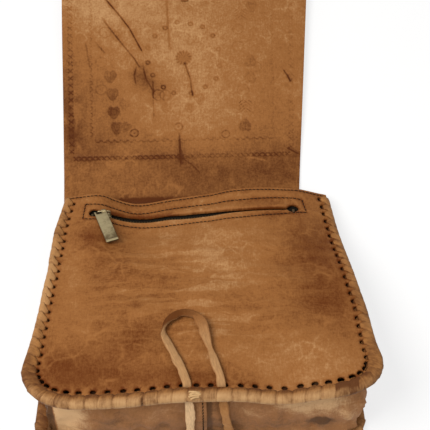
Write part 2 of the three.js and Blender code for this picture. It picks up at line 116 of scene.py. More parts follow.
room = bpy.data.worlds.new("pale_room")
room.use_nodes = True
room_tree = room.node_tree
room_tree.nodes.clear()
room_glow = add_node(room_tree, "Background", {"Color": WHITE, "Strength": ROOM_LIGHT})
room_white = add_node(room_tree, "Background", {"Color": WHITE, "Strength": 1.0})
room_mix = add_node(
    room_tree, "MixShader",
    {0: seen_directly(room_tree), 1: room_glow.outputs[0], 2: room_white.outputs[0]},
)
add_node(room_tree, "OutputWorld", {"Surface": room_mix.outputs[0]})
scene.world = room

floor_corners = [(x * FLOOR_HALF, y * FLOOR_HALF, 0) for x, y in ((-1, -1), (1, -1), (1, 1), (-1, 1))]
floor_mesh = bpy.data.meshes.new("floor")
floor_mesh.from_pydata(floor_corners, [], [(0, 1, 2, 3)])
floor = bpy.data.objects.new("floor", floor_mesh)
scene.collection.objects.link(floor)
floor_white = bpy.data.materials.new("floor_white")
floor_white.use_nodes = True
floor_tree = floor_white.node_tree
floor_tree.nodes.clear()
floor_matte = add_node(floor_tree, "BsdfDiffuse", {"Color": (FLOOR_GREY, FLOOR_GREY, FLOOR_GREY, 1)})
floor_glow = add_node(floor_tree, "Emission", {"Color": WHITE, "Strength": 1.0})
floor_share = add_node(
    floor_tree, "Math", {0: seen_directly(floor_tree), 1: SHADOW_HIDDEN}, operation="MULTIPLY"
)
floor_mix = add_node(
    floor_tree, "MixShader",
    {0: floor_share.outputs[0], 1: floor_matte.outputs[0], 2: floor_glow.outputs[0]},
)
add_node(floor_tree, "OutputMaterial", {"Surface": floor_mix.outputs[0]})
floor_mesh.materials.append(floor_white)

# Back panel: the bag's flat back, one piece of thick tan hide lying on the floor, cut wider at the
# bottom with round corners. Its rim is lifted off the floor by the lace whipped round it.
MM = 0.001
MOUTH_HALF = 0.115
BACK_BASE_HALF = 0.1365
PANEL_LENGTH = 0.217
BACK_CORNER = 0.022
LEATHER = 0.0024
MOUTH_Y = 0.1085
BACK_SHIFT = -0.004
BACK_LIFT = 0.0017
LIFT_REACH = (0.06, 0.015)
BACK_SPREAD = 0.13
FLOOR_GAP = 0.0003
RIM_STEP = 0.001
STRETCH_STEPS = 60
PANEL_MESH = 0.0032
MESH_JITTER = 0.12
EDGE_CLEAR = 0.0006
CUT_INSET = 0.0018
EDGE_ROUND = 0.22
HIDE_RELIEF = 0.0006


def between(low, high, value):
    """0 below low, 1 above high, with a smooth rise between."""
    t = np.clip((np.asarray(value, float) - low) / (high - low), 0, 1)
    return t * t * (3 - 2 * t)


def through(points, value):
    """A smooth curve through a few (place, amount) points, which are in mm."""
    places, amounts = np.array(points, float).T * MM
    slopes = np.gradient(amounts, places)
    i = np.clip(np.searchsorted(places, value) - 1, 0, len(places) - 2)
    span = places[i + 1] - places[i]
    t = np.clip((value - places[i]) / span, 0, 1)
    return (
        (2 * t**3 - 3 * t**2 + 1) * amounts[i]
        + (t**3 - 2 * t**2 + t) * span * slopes[i]
        + (3 * t**2 - 2 * t**3) * amounts[i + 1]
        + (t**3 - t**2) * span * slopes[i + 1]
    )


def ripple(u, v, length, seed, stretch=1.0):
    """Gentle unevenness of about -1 to 1, in waves of about the given length."""
    rng = np.random.default_rng(seed)
    total = np.zeros_like(np.asarray(u, float))
    for _ in range(8):
        angle = rng.uniform(0, math.tau)
        wave = math.tau / (length * rng.uniform(0.7, 1.4))
        phase = rng.uniform(0, math.tau)
        total += np.sin(wave * (u * math.cos(angle) / stretch + v * math.sin(angle)) + phase)
    return total / 2.83


def patches(u, v, spots):
    """Soft round patches added together: rows of middle and two half sizes in mm, and amount."""
    total = np.zeros_like(np.asarray(u, float))
    for *place, amount in spots:
        middle_u, middle_v, half_u, half_v = np.array(place) * MM
        total += amount * np.exp(-(((u - middle_u) / half_u) ** 2) - ((v - middle_v) / half_v) ** 2)
    return total


def bezier(start, control, end, count):
    """Points on a curve that leaves one end and reaches the other heading for the control point."""
    t = np.linspace(0, 1, count)[:, None]
    return (1 - t) ** 2 * np.array(start) + 2 * t * (1 - t) * np.array(control) + t**2 * np.array(end)


def unit(ways):
    """The ways, each made one long."""
    return ways / np.linalg.norm(ways, axis=-1, keepdims=True)


def distances(line):
    """How far along a line each of its points is."""
    return np.concatenate(([0], np.cumsum(np.linalg.norm(np.diff(line, axis=0), axis=1))))


def trace_rim(base_half, mouth, left_reach, right_reach):
    """The laced rim in the flat, from the left mouth corner round the bottom to the right one.

    Rows are distance along, x, v (downwards negative) and the outward direction."""
    left = np.array((-base_half, -PANEL_LENGTH))
    right = np.array((base_half, -PANEL_LENGTH))
    left_mouth = np.array((-mouth[0], mouth[1]))
    right_mouth = np.array(mouth)
    left_side = left + unit(left_mouth - left) * left_reach[0]
    left_base = left + (left_reach[1], 0)
    right_base = right - (right_reach[1], 0)
    right_side = right + unit(right_mouth - right) * right_reach[0]
    line = np.vstack((
        np.linspace(left_mouth, left_side, STRETCH_STEPS)[:-1],
        bezier(left_side, left, left_base, STRETCH_STEPS)[:-1],
        np.linspace(left_base, right_base, STRETCH_STEPS)[:-1],
        bezier(right_base, right, right_side, STRETCH_STEPS)[:-1],
        np.linspace(right_side, right_mouth, STRETCH_STEPS),
    ))
    along = distances(line)
    even = np.linspace(0, along[-1], int(along[-1] / RIM_STEP))
    x = np.interp(even, along, line[:, 0])
    v = np.interp(even, along, line[:, 1])
    out_x = np.gradient(v, even)
    out_v = -np.gradient(x, even)
    return np.column_stack((even, x, v, out_x, out_v))


def rim_at(rim, along, inset):
    """The flat place at a distance along the rim and an inset from it."""
    columns = [np.interp(along, rim[:, 0], rim[:, k]) for k in range(1, 5)]
    return columns[0] - columns[2] * inset, columns[1] - columns[3] * inset


def enclosed(loop, points):
    """Which points lie inside a closed outline."""
    inside = np.zeros(len(points), bool)
    for a, b in zip(loop, np.roll(loop, -1, axis=0)):
        crosses = (a[1] > points[:, 1]) != (b[1] > points[:, 1])
        if crosses.any():
            at = a[0] + (points[:, 1] - a[1]) / (b[1] - a[1] + 1e-15) * (b[0] - a[0])
            inside ^= crosses & (points[:, 0] < at)
    return inside


def gap_to(points, targets):
    """Distance from each flat point to the nearest of the targets."""
    finder = kdtree.KDTree(len(targets))
    for i, target in enumerate(targets):
        finder.insert((target[0], target[1], 0), i)
    finder.balance()
    return np.array([finder.find((p[0], p[1], 0))[2] for p in points])


def cut_pattern(outline, holes, spacing, extra=(), seed=1):
    """Cuts a flat piece with holes into triangles: its points and its triangles."""
    rng = np.random.default_rng(seed)
    low = outline.min(0)
    high = outline.max(0)
    columns, rows = np.meshgrid(
        np.arange(low[0], high[0], spacing), np.arange(low[1], high[1], spacing * 0.87)
    )
    columns = columns + (np.arange(columns.shape[0]) % 2)[:, None] * spacing / 2
    fill = np.column_stack((columns.ravel(), rows.ravel()))
    fill += rng.uniform(-MESH_JITTER, MESH_JITTER, fill.shape) * spacing
    if len(extra):
        fill = np.vstack((fill[gap_to(fill, extra) > spacing * 0.5], extra))
    loops = [outline] + list(holes)
    edges = []
    first = 0
    for loop in loops:
        count = len(loop)
        edges += [(first + i, first + (i + 1) % count) for i in range(count)]
        first += count
    border = np.vstack(loops)
    fill = fill[enclosed(outline, fill)]
    fill = fill[gap_to(fill, border) > EDGE_CLEAR]
    points = [Vector(p) for p in np.vstack((border, fill))]
    flat, _, faces, _, _, _ = geometry.delaunay_2d_cdt(points, edges, [], 1, 1e-8)
    flat = np.array([tuple(p) for p in flat])
    faces = np.array([f for f in faces if len(f) == 3])
    middles = flat[faces].mean(1)
    cut_away = ~enclosed(outline, middles)
    for hole in holes:
        reach = np.linalg.norm(hole - hole.mean(0), axis=1).max()
        close = np.linalg.norm(middles - hole.mean(0), axis=1) < reach
        cut_away[close] |= enclosed(hole, middles[close])
    faces = faces[~cut_away]
    a, b, c = flat[faces[:, 0]], flat[faces[:, 1]], flat[faces[:, 2]]
    turned = (b[:, 0] - a[:, 0]) * (c[:, 1] - a[:, 1]) - (b[:, 1] - a[:, 1]) * (c[:, 0] - a[:, 0]) < 0
    faces[turned] = faces[turned][:, ::-1]
    used = np.unique(faces)
    renumber = np.full(len(flat), -1)
    renumber[used] = np.arange(len(used))
    return flat[used], renumber[faces]


def face_normals(face, triangles):
    """The way out of the leather at each point of its face."""
    a, b, c = face[triangles[:, 0]], face[triangles[:, 1]], face[triangles[:, 2]]
    across = np.cross(b - a, c - a)
    total = np.zeros_like(face)
    for k in range(3):
        np.add.at(total, triangles[:, k], across)
    return total / np.maximum(np.linalg.norm(total, axis=1, keepdims=True), 1e-15)


def add_piece(name, points, faces, flat, marks=None, smooth_angle=50):
    """Makes a mesh object with a flat-pattern UV map in metres and any named marks on its points."""
    mesh = bpy.data.meshes.new(name)
    mesh.from_pydata(np.asarray(points).tolist(), [], [list(map(int, f)) for f in faces])
    corner = np.zeros(len(mesh.loops), np.int32)
    mesh.loops.foreach_get("vertex_index", corner)
    layer = mesh.uv_layers.new(name="flat")
    layer.data.foreach_set("uv", np.asarray(flat, np.float32)[corner].ravel())
    for mark, values in (marks or {}).items():
        attribute = mesh.attributes.new(mark, "FLOAT", "POINT")
        attribute.data.foreach_set("value", np.asarray(values, np.float32))
    mesh.shade_smooth()
    mesh.set_sharp_from_angle(angle=math.radians(smooth_angle))
    made = bpy.data.objects.new(name, mesh)
    scene.collection.objects.link(made)
    return made


def leather_piece(name, flat, triangles, face, thickness, marks=None, relief=0.0, under_flesh=1.0,
                  under_tone=None):
    """A cut of leather: the bent face, the side under it and the cut edge between them."""
    count = len(flat)
    normals = face_normals(face, triangles)
    under = face - normals * np.asarray(thickness).reshape(-1, 1)
    face = face + normals * np.asarray(relief).reshape(-1, 1)
    directed = np.vstack((triangles[:, [0, 1]], triangles[:, [1, 2]], triangles[:, [2, 0]]))
    known = {(a, b) for a, b in directed.tolist()}
    rim = sorted((a, b) for a, b in known if (b, a) not in known)
    on_rim = np.unique(np.array(rim).ravel())
    step = (face - under)[on_rim] * EDGE_ROUND
    face = face.copy()
    face[on_rim] -= step
    under[on_rim] += step
    faces = triangles.tolist() + (triangles[:, ::-1] + count).tolist()
    faces += [(a, a + count, b + count, b) for a, b in rim]
    both = {"flesh": np.concatenate((np.zeros(count), np.zeros(count) + under_flesh))}
    for mark, values in (marks or {}).items():
        both[mark] = np.concatenate((values, values))
    if under_tone is not None:
        both["tone"][count:] = under_tone
    return add_piece(name, np.vstack((face, under)), faces, np.vstack((flat, flat)), both)


def group_tree(name, inputs, outputs):
    """An empty shader node group with named sockets: its tree, what it is given and what it gives."""
    tree = bpy.data.node_groups.new(name, "ShaderNodeTree")
    for label, kind, value in inputs:
        socket = tree.interface.new_socket(label, in_out="INPUT", socket_type="NodeSocket" + kind)
        if value is not None:
            socket.default_value = value
    for label, kind in outputs:
        tree.interface.new_socket(label, in_out="OUTPUT", socket_type="NodeSocket" + kind)
    return tree, tree.nodes.new("NodeGroupInput").outputs, tree.nodes.new("NodeGroupOutput").inputs


def maths(tree, operation, a, b=0.0, c=0.0):
    """One operation on up to three values."""
    return add_node(tree, "Math", {0: a, 1: b, 2: c}, operation=operation).outputs[0]


def weigh(tree, value, amount, rest):
    """A pattern about 0.5, weighed about 0 and added to the rest."""
    return maths(tree, "MULTIPLY_ADD", maths(tree, "SUBTRACT", value, 0.5), amount, rest)


def mix_colour(tree, share, a, b, blend="MIX"):
    """Colour a where the share is 0, and b where it is 1."""
    return add_node(tree, "Mix", {0: share, 6: a, 7: b}, data_type="RGBA", blend_type=blend).outputs[2]


def ramp(tree, value, low, high):
    """0 at low and 1 at high, smooth between."""
    return add_node(tree, "MapRange", {"Value": value, "From Min": low, "From Max": high},
                    interpolation_type="SMOOTHSTEP").outputs["Result"]


def noise(tree, vector, scale, detail=4.0, roughness=0.55):
    """Cloudy unevenness about 0.5."""
    inputs = {"Vector": vector, "Scale": scale, "Detail": detail, "Roughness": roughness}
    return add_node(tree, "TexNoise", inputs).outputs["Fac"]


def stretch(tree, vector, scale):
    """Places scaled apart in each direction, which draws a pattern out into streaks."""
    return add_node(tree, "VectorMath", {0: vector, 1: scale}, operation="MULTIPLY").outputs[0]


def make_hide_group():
    """Worn vegetable-tanned hide: cloudy tan, fibre streaks, pores, fine creases, pale flesh side."""
    tree, given, result = group_tree(
        "worn_hide",
        [
            ("Hide", "Vector", None), ("Tone", "Float", 0.5), ("Crease", "Float", 0.0),
            ("Flesh", "Float", 0.0), ("Clouds", "Float", 0.6), ("Mottle", "Float", 0.3),
            ("Veins", "Float", 0.1),
            ("Dark", "Color", (0.1, 0.023, 0.002, 1)), ("Middle", "Color", (0.268, 0.106, 0.029, 1)),
            ("Light", "Color", (0.46, 0.252, 0.108, 1)), ("Suede", "Color", (0.45, 0.28, 0.14, 1)),
        ],
        [("Color", "Color"), ("Roughness", "Float"), ("Height", "Float")],
    )
    hide = given["Hide"]
    clouds = noise(tree, hide, 26.0, 5.0, 0.6)
    blotches = noise(tree, hide, 120.0, 4.0, 0.6)
    streaks = noise(tree, stretch(tree, hide, (900.0, 160.0, 1.0)), 1.0, 3.0, 0.6)
    pores = add_node(tree, "TexVoronoi", {"Vector": hide, "Scale": 1100.0}, feature="F1").outputs["Distance"]
    grain = noise(tree, hide, 2200.0, 2.0, 0.6)
    mottle = noise(tree, hide, 480.0, 3.0, 0.65)
    wander = add_node(tree, "TexNoise", {"Vector": hide, "Scale": 45.0}).outputs["Color"]
    bent = add_node(tree, "VectorMath", {0: wander, 1: (0.012, 0.012, 0.0), 2: hide},
                    operation="MULTIPLY_ADD").outputs[0]
    folds = noise(tree, stretch(tree, bent, (17.0, 120.0, 1.0)), 1.0, 3.0, 0.55)
    fold_line = maths(tree, "ABSOLUTE", maths(tree, "SUBTRACT", folds, 0.5))
    fold_line = maths(tree, "SUBTRACT", 1.0, ramp(tree, fold_line, 0.0, 0.04))
    crease = maths(tree, "MULTIPLY_ADD", fold_line, 0.5, ramp(tree, folds, 0.42, 0.62))
    crease = maths(tree, "MULTIPLY", crease, given["Crease"])
    cracks = add_node(tree, "TexVoronoi", {"Vector": bent, "Scale": 75.0}, feature="DISTANCE_TO_EDGE")
    crack_line = maths(tree, "SUBTRACT", 1.0, ramp(tree, cracks.outputs["Distance"], 0.0, 0.14))
    scuff = maths(tree, "MULTIPLY", crack_line, ramp(tree, noise(tree, hide, 38.0), 0.46, 0.66))
    uneven = maths(tree, "MULTIPLY", maths(tree, "SUBTRACT", clouds, 0.5), given["Clouds"])
    uneven_layers = ((blotches, 0.36), (streaks, 0.28), (grain, 0.16), (mottle, given["Mottle"]))
    for layer, amount in uneven_layers:
        uneven = weigh(tree, layer, amount, uneven)
    calm = maths(tree, "MULTIPLY_ADD", ramp(tree, given["Tone"], -0.1, 0.5), 0.65, 0.35)
    cloudy = maths(tree, "MULTIPLY_ADD", uneven, calm, given["Tone"])
    cloudy = maths(tree, "MULTIPLY_ADD", crease, -0.2, cloudy)
    cloudy = maths(tree, "MULTIPLY_ADD", scuff, given["Veins"], cloudy)
    lower = mix_colour(tree, ramp(tree, cloudy, 0.0, 0.5), given["Dark"], given["Middle"])
    face = mix_colour(tree, ramp(tree, cloudy, 0.45, 0.95), lower, given["Light"])
    nap = weigh(tree, streaks, 0.9, 0.92)
    nap_grey = add_node(tree, "CombineColor", {"Red": nap, "Green": nap, "Blue": nap}).outputs[0]
    suede = mix_colour(tree, 1.0, given["Suede"], nap_grey, "MULTIPLY")
    colour = mix_colour(tree, given["Flesh"], face, suede)
    tree.links.new(colour, result["Color"])
    rough = maths(tree, "MULTIPLY_ADD", blotches, 0.22, 0.5)
    rough = maths(tree, "MULTIPLY_ADD", given["Flesh"], 0.25, rough)
    tree.links.new(rough, result["Roughness"])
    height = maths(tree, "MULTIPLY", grain, 0.4)
    pits = ramp(tree, pores, 0.0, 0.6)
    for layer, amount in ((pits, 0.35), (blotches, 0.8), (streaks, 0.3), (crease, -0.5)):
        height = maths(tree, "MULTIPLY_ADD", layer, amount, height)
    tree.links.new(height, result["Height"])
    return tree


def mark_value(tree, name):
    """A named mark kept on the mesh's points."""
    return add_node(tree, "Attribute", attribute_name=name).outputs["Fac"]


hide_group = make_hide_group()


def new_material(name):
    """A material with its node tree and its shader."""
    made = bpy.data.materials.new(name)
    made.use_nodes = True
    return made, made.node_tree, made.node_tree.nodes["Principled BSDF"]


def hide_material(name, bump=0.35, **values):
    """Leather with the hide group's values; marks on the mesh give its tone and creases."""
    made, tree, shader = new_material(name)
    flat = add_node(tree, "UVMap", uv_map="flat").outputs[0]
    marks = {mark: mark_value(tree, mark.lower()) for mark in ("Tone", "Crease", "Flesh")}
    hide = add_node(tree, "Group", {"Hide": flat, **marks, **values}, node_tree=hide_group)
    relief = add_node(
        tree, "Bump", {"Strength": bump, "Distance": HIDE_RELIEF, "Height": hide.outputs["Height"]}
    )
    tree.links.new(hide.outputs["Color"], shader.inputs["Base Color"])
    tree.links.new(hide.outputs["Roughness"], shader.inputs["Roughness"])
    tree.links.new(relief.outputs[0], shader.inputs["Normal"])
    shader.inputs["Specular IOR Level"].default_value = 0.09
    return made


def on_back(x, v, rise=0.0):
    """A place on the back panel: flat place on the panel, and rise above its under face."""
    inside = np.minimum(PANEL_LENGTH + v, MOUTH_HALF - v * BACK_SPREAD - np.abs(x))
    sag = BACK_LIFT * between(*LIFT_REACH, inside)
    return np.column_stack((x + BACK_SHIFT, MOUTH_Y + v, sag + FLOOR_GAP + rise + np.zeros_like(x)))


back_reach = (BACK_CORNER, BACK_CORNER)
back_rim = trace_rim(BACK_BASE_HALF, (MOUTH_HALF, 0.0), back_reach, back_reach)
back_line = np.arange(0, back_rim[-1, 0], PANEL_MESH)
back_outline = np.column_stack(rim_at(back_rim, np.append(back_line, back_rim[-1, 0]), CUT_INSET))
mouth_fill = np.linspace(back_outline[-1, 0], back_outline[0, 0], 60)[1:-1]
back_outline = np.vstack((back_outline, np.column_stack((mouth_fill, np.zeros_like(mouth_fill)))))
back_outline[:, 1] = np.minimum(back_outline[:, 1], 0)
back_flat, back_triangles = cut_pattern(back_outline, [], PANEL_MESH * 1.6)
back_tone = 0.42 + 0.1 * ripple(*back_flat.T, 0.09, 11)
back_face = on_back(*back_flat.T, LEATHER)
back_marks = {"tone": back_tone, "crease": np.zeros(len(back_flat))}
back_panel = leather_piece("back_leather", back_flat, back_triangles, back_face, LEATHER, back_marks,
                           under_flesh=0.0, under_tone=back_tone)
back_panel.data.materials.append(hide_material("back_hide"))
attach(back_panel, "bag")
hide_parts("back_panel")

# Front panel: the sloping front, cut from the same hide. Its mouth edge has sagged on the left and the
# zip sags with it. The rim is punched for the lace, and two slits at the bottom take the thong.
FRONT_BASE_HALF = 0.143
MOUTH_HEIGHT = 0.019
BASE_HEIGHT = 0.088
FRONT_SLOPE = math.asin((BASE_HEIGHT - MOUTH_HEIGHT) / PANEL_LENGTH)
FRONT_UP = np.array((0, math.cos(FRONT_SLOPE), -math.sin(FRONT_SLOPE)))
FRONT_OUT = np.array((0, math.sin(FRONT_SLOPE), math.cos(FRONT_SLOPE)))
FRONT_ORIGIN = np.array((0, MOUTH_Y, MOUTH_HEIGHT)) - LEATHER * FRONT_OUT
ACROSS = np.array((1, 0, 0))
FRONT_SPREAD = 0.129
FRONT_SWELL = 0.0035
FRONT_WAVES = 0.0009
FRONT_FURROWS = 0.00022
MOUTH_FLARE = 0.003
FLARE_WAY = np.array((0, 0.8, 0.5))
MOUTH_EDGE = 0.0028
MOUTH_SAG = (
    (-118, 2), (-107, 0.8), (-100, -0.1), (-93, -1), (-86, -1.1), (-81, 0.3), (-76, 3.3), (-69, 7),
    (-61, 10.3), (-52, 11.65), (-43, 10.7), (-34, 8.9), (-25.6, 7.2), (-17, 6), (-8, 4.8), (1, 3.8),
    (10, 2.9), (18, 1.4), (27, 0.1), (36, -0.2), (53, 0), (71, 0.6), (88, 1.1), (97, 3.1), (106, 5.5),
    (118, 8),
)
LEFT_SIDE = (
    (-220, 1), (-198, 1.6), (-187, 2.4), (-177, 1.6), (-160, 0.4), (-123, 0), (-100, 0.8), (-80, 1),
    (-69, 2.2), (-59, 2.7), (-48, 3.4), (-37, 4), (-26, 3.3), (-15, 2.5), (3, 1.2),
)
RIGHT_SIDE = ((-220, 0.6), (-187, 0.6), (-170, -0.6), (-130, 0), (-110, -0.8), (-80, -1.8), (3, -1.8))
SAG_WAY = np.array((0, -0.43, -0.9))
BASE_WAVE = (
    (-145, 2), (-97, -1.5), (-56, -0.5), (-26, 2.5), (0, 3), (27, 2), (57, -2), (66, -2), (85, 1),
    (110, 3), (145, 4),
)
BASE_WAY = np.array((0, 0.55, 0.75))
FRONT_LEFT_REACH = (0.044, 0.05)
FRONT_RIGHT_REACH = (0.042, 0.056)
SIDE_HOLE = (0.0017, 0.0018)
BASE_HOLE = (0.0019, 0.0024)
RIGHT_HOLES_WIDER = 0.0005
FIRST_HOLE = 0.0082
LAST_HOLE_ROOM = 0.004
SIDE_PITCH = 0.0086
BASE_PITCH = 0.0112
PITCH_JITTER = 0.0005
SIDE_INSET = 0.0086
BASE_INSET = 0.013
INSET_JITTER = 0.0004
SEAM_WIDTH = 0.0008
SEAM_MESH = 0.0016
SEAM_SINK = 0.0003
FRAME_STEPS = 60
LIP_RISE = 0.0013
LOWER_LIP_RISE = 0.0002
DIP_SINK = 0.0014
SLOT_MIDDLE = (
    (-100, -20.2), (-92, -20.2), (-82, -19.8), (-69, -18.5), (-60, -17.6), (-52, -17.7), (-43, -18.6),
    (-34, -19.1), (-25, -19.7), (-17, -20.6), (-8, -21.1), (5, -21), (18, -21.4), (27, -21.7),
    (36, -21.4), (44, -20.9), (53, -20.4), (62, -19.9), (71, -19.5), (90, -18.8),
)
SLOT_HALF = (
    (-88, 2.9), (-75, 2.8), (-60, 3), (-45, 2.9), (-30, 2.9), (-15, 2.8), (0, 2.8), (12, 2.4), (25, 1.8),
    (36, 1.4), (50, 1.2), (62, 1.2), (78, 1.3),
)
LEFT_EYE = (-0.0895, 0.0042, 0.0042)
RIGHT_EYE = (0.0812, 0.0052, 0.0043)
FRAME_TOP = (
    (-97.1, -9.2), (-92, -9.8), (-86, -10.2), (-81, -10.3), (-76, -9.9), (-69, -9.6), (-60, -9.7),
    (-43, -10), (-25, -9.8), (0, -9.8), (18, -9.7), (36, -9.5), (53, -8.6), (71, -8), (79, -8.1),
    (90, -9.2),
)
FRAME_FOOT = (
    (-98.2, -26.2), (-92, -27.4), (-80, -27.8), (-69, -27.6), (-60, -26.7), (-52, -26.9), (-43, -28),
    (-34, -29.4), (-17, -30), (0, -30.3), (18, -30.6), (30, -30.5), (44, -29.2), (53, -28.2), (62, -27.1),
    (71, -26), (79, -25.1), (93.3, -23.2),
)
HEM_V = 0.0
SLIT_DOWN = 0.2045
SLITS = (-0.0129, 0.0132)
SLIT_HALF = (0.0038, 0.0012)


def sag_at(x, v):
    """How far the mouth has sagged, held over the zip and fading out down the panel."""
    return through(MOUTH_SAG, x) * between(-0.098, -0.03, v)


def on_front(x, v, lift=0.0):
    """A place on the front panel: flat place on the panel, and lift above its inner face."""
    x = np.asarray(x, float)
    v = np.asarray(v, float)
    lift = np.asarray(lift, float) + np.zeros_like(x)
    half_wide = MOUTH_HALF - v * FRONT_SPREAD
    inside = np.minimum(PANEL_LENGTH + v, half_wide - np.abs(x))
    crown = between(0.008, 0.07, inside) * between(0.0, -0.07, v)
    swell = FRONT_SWELL * crown + FRONT_WAVES * crown * ripple(x, v, 0.05, 5)
    swell += FRONT_FURROWS * crown * ripple(x, v, 0.0065, 7, stretch=6.0)
    toward_edge = np.clip(np.abs(x) / half_wide, 0, 1.1) ** 3
    shift = np.where(x < 0, -through(LEFT_SIDE, v), through(RIGHT_SIDE, v)) * toward_edge
    place = FRONT_ORIGIN + (x + shift)[:, None] * ACROSS + v[:, None] * FRONT_UP
    place = place + (lift + swell)[:, None] * FRONT_OUT
    place = place + sag_at(x, v)[:, None] * SAG_WAY
    place = place + (through(BASE_WAVE, x) * between(-0.14, -0.205, v))[:, None] * BASE_WAY
    flare = MOUTH_FLARE * np.exp(-(((x - 0.055) / 0.04) ** 2)) * between(-0.016, 0, v)
    return place + flare[:, None] * FLARE_WAY


def oval(middle, way, half_way, half_across, count=14):
    """A small oval cut, with its half sizes along a way and across it."""
    turn = np.linspace(0, math.tau, count, endpoint=False)[:, None]
    way = np.array(way)
    across = np.array((-way[1], way[0]))
    return np.array(middle) + np.cos(turn) * way * half_way + np.sin(turn) * across * half_across


def slot_outline(steps=90):
    """The zip's slot: a long lens between a round eye at each end."""
    left_x, left_reach, left_rise = LEFT_EYE
    right_x, right_reach, right_rise = RIGHT_EYE
    left_turn = math.asin(SLOT_HALF[0][1] * MM / left_rise)
    right_turn = math.asin(SLOT_HALF[-1][1] * MM / right_rise)
    line = np.linspace(
        left_x + left_reach * math.cos(left_turn), right_x - right_reach * math.cos(right_turn), steps
    )
    middle = through(SLOT_MIDDLE, line)
    half = through(SLOT_HALF, line)
    right = np.linspace(right_turn - math.pi, math.pi - right_turn, 20)[1:-1]
    left = np.linspace(left_turn, math.tau - left_turn, 16)[1:-1]
    return np.vstack((
        np.column_stack((line, middle - half)),
        np.column_stack((right_x + right_reach * np.cos(right), middle[-1] + right_rise * np.sin(right))),
        np.column_stack((line, middle + half))[::-1],
        np.column_stack((left_x + left_reach * np.cos(left), middle[0] + left_rise * np.sin(left))),
    ))


def line_gap(points, route):
    """Distance from each flat point to the nearest place on a route of straight pieces."""
    best = np.full(len(points), np.inf)
    for start, end in zip(np.array(route[:-1], float), np.array(route[1:], float)):
        run = end - start
        t = np.clip((points - start) @ run / (run @ run), 0, 1)
        best = np.minimum(best, np.linalg.norm(points - start - t[:, None] * run, axis=1))
    return best


def beside(route, step, offsets):
    """Flat points in rows beside a route, for a finer mesh there."""
    rows = []
    for start, end in zip(np.array(route[:-1], float), np.array(route[1:], float)):
        run = end - start
        length = np.linalg.norm(run)
        across = np.array((-run[1], run[0])) / length
        at = np.linspace(0, 1, max(2, int(length / step)), endpoint=False)[:, None]
        rows += [start + at * run + across * offset for offset in offsets]
    return np.vstack(rows)


front_rim = trace_rim(FRONT_BASE_HALF, (MOUTH_HALF, MOUTH_EDGE), FRONT_LEFT_REACH, FRONT_RIGHT_REACH)


def lace_stations(rim, seed):
    """Distances along the rim of the punched holes: closer on the sides than along the bottom."""
    rng = np.random.default_rng(seed)
    stations = []
    along = FIRST_HOLE
    while along < rim[-1, 0] - LAST_HOLE_ROOM:
        stations.append(along + rng.uniform(-PITCH_JITTER, PITCH_JITTER))
        _, v = rim_at(rim, along, 0)
        along += SIDE_PITCH + (BASE_PITCH - SIDE_PITCH) * float(between(-0.19, -0.214, v))
    return np.array(stations)


def hole_inset(rim, along):
    """How far in from the rim the holes stand: further in round the corners and along the bottom."""
    _, v = rim_at(rim, along, 0)
    return SIDE_INSET + (BASE_INSET - SIDE_INSET) * between(-0.115, -0.212, v)


def lace_insets(rim, stations, seed):
    """Insets of the punched holes, a little uneven."""
    rng = np.random.default_rng(seed)
    return hole_inset(rim, stations) + rng.uniform(-INSET_JITTER, INSET_JITTER, len(stations))


front_stations = lace_stations(front_rim, 21)
front_insets = lace_insets(front_rim, front_stations, 22)
front_holes = []
for along, inset in zip(front_stations, front_insets):
    hole_x, hole_v = rim_at(front_rim, along, inset)
    edge_x, edge_v = rim_at(front_rim, along, 0)
    way = np.array((edge_x - hole_x, edge_v - hole_v)) / inset
    hole_size = np.array(SIDE_HOLE) + (np.array(BASE_HOLE) - SIDE_HOLE) * between(-0.16, -0.205, edge_v)
    hole_size = hole_size + RIGHT_HOLES_WIDER * between(0.05, 0.09, hole_x)
    front_holes.append(oval((hole_x, hole_v), way, *hole_size))
zip_slot = slot_outline()
slit_cuts = [oval((x, -SLIT_DOWN), (1, 0), *SLIT_HALF, count=18) for x in SLITS]

front_line = np.append(np.arange(0, front_rim[-1, 0], PANEL_MESH), front_rim[-1, 0])
front_outline = np.column_stack(rim_at(front_rim, front_line, CUT_INSET))
front_outline[:, 1] = np.minimum(front_outline[:, 1], MOUTH_EDGE)
mouth_fill = np.linspace(front_outline[-1, 0], front_outline[0, 0], 92)[1:-1]
mouth_line = np.column_stack((mouth_fill, np.full_like(mouth_fill, MOUTH_EDGE)))
front_outline = np.vstack((front_outline, mouth_line))
hem_line = ((-0.1135, HEM_V), (0.112, HEM_V))
frame_top_x = np.linspace(FRAME_TOP[0][0], FRAME_TOP[-1][0], FRAME_STEPS) * MM
frame_foot_x = np.linspace(FRAME_FOOT[-1][0], FRAME_FOOT[0][0], FRAME_STEPS) * MM
frame_top = np.column_stack((frame_top_x, through(FRAME_TOP, frame_top_x)))
frame_foot = np.column_stack((frame_foot_x, through(FRAME_FOOT, frame_foot_x)))
frame_line = np.vstack((frame_top, frame_foot, frame_top[:1]))
lip_x = np.linspace(-0.0855, 0.0765, 100)
lip_top = through(SLOT_MIDDLE, lip_x) + through(SLOT_HALF, lip_x)
lip_foot = through(SLOT_MIDDLE, lip_x) - through(SLOT_HALF, lip_x)
seam_sides = (-SEAM_WIDTH, 0.0, SEAM_WIDTH)
front_extra = np.vstack((
    beside(hem_line, SEAM_MESH, seam_sides), beside(frame_line, SEAM_MESH, seam_sides),
    *[np.column_stack((lip_x, lip_top + gap)) for gap in (0.0009, 0.0019, 0.0031, 0.0045)],
    *[np.column_stack((lip_x, lip_foot - gap)) for gap in (0.0009, 0.0019, 0.0031)],
))
front_flat, front_triangles = cut_pattern(
    front_outline, front_holes + [zip_slot] + slit_cuts, PANEL_MESH * 0.8, front_extra, seed=3
)
front_x, front_v = front_flat.T

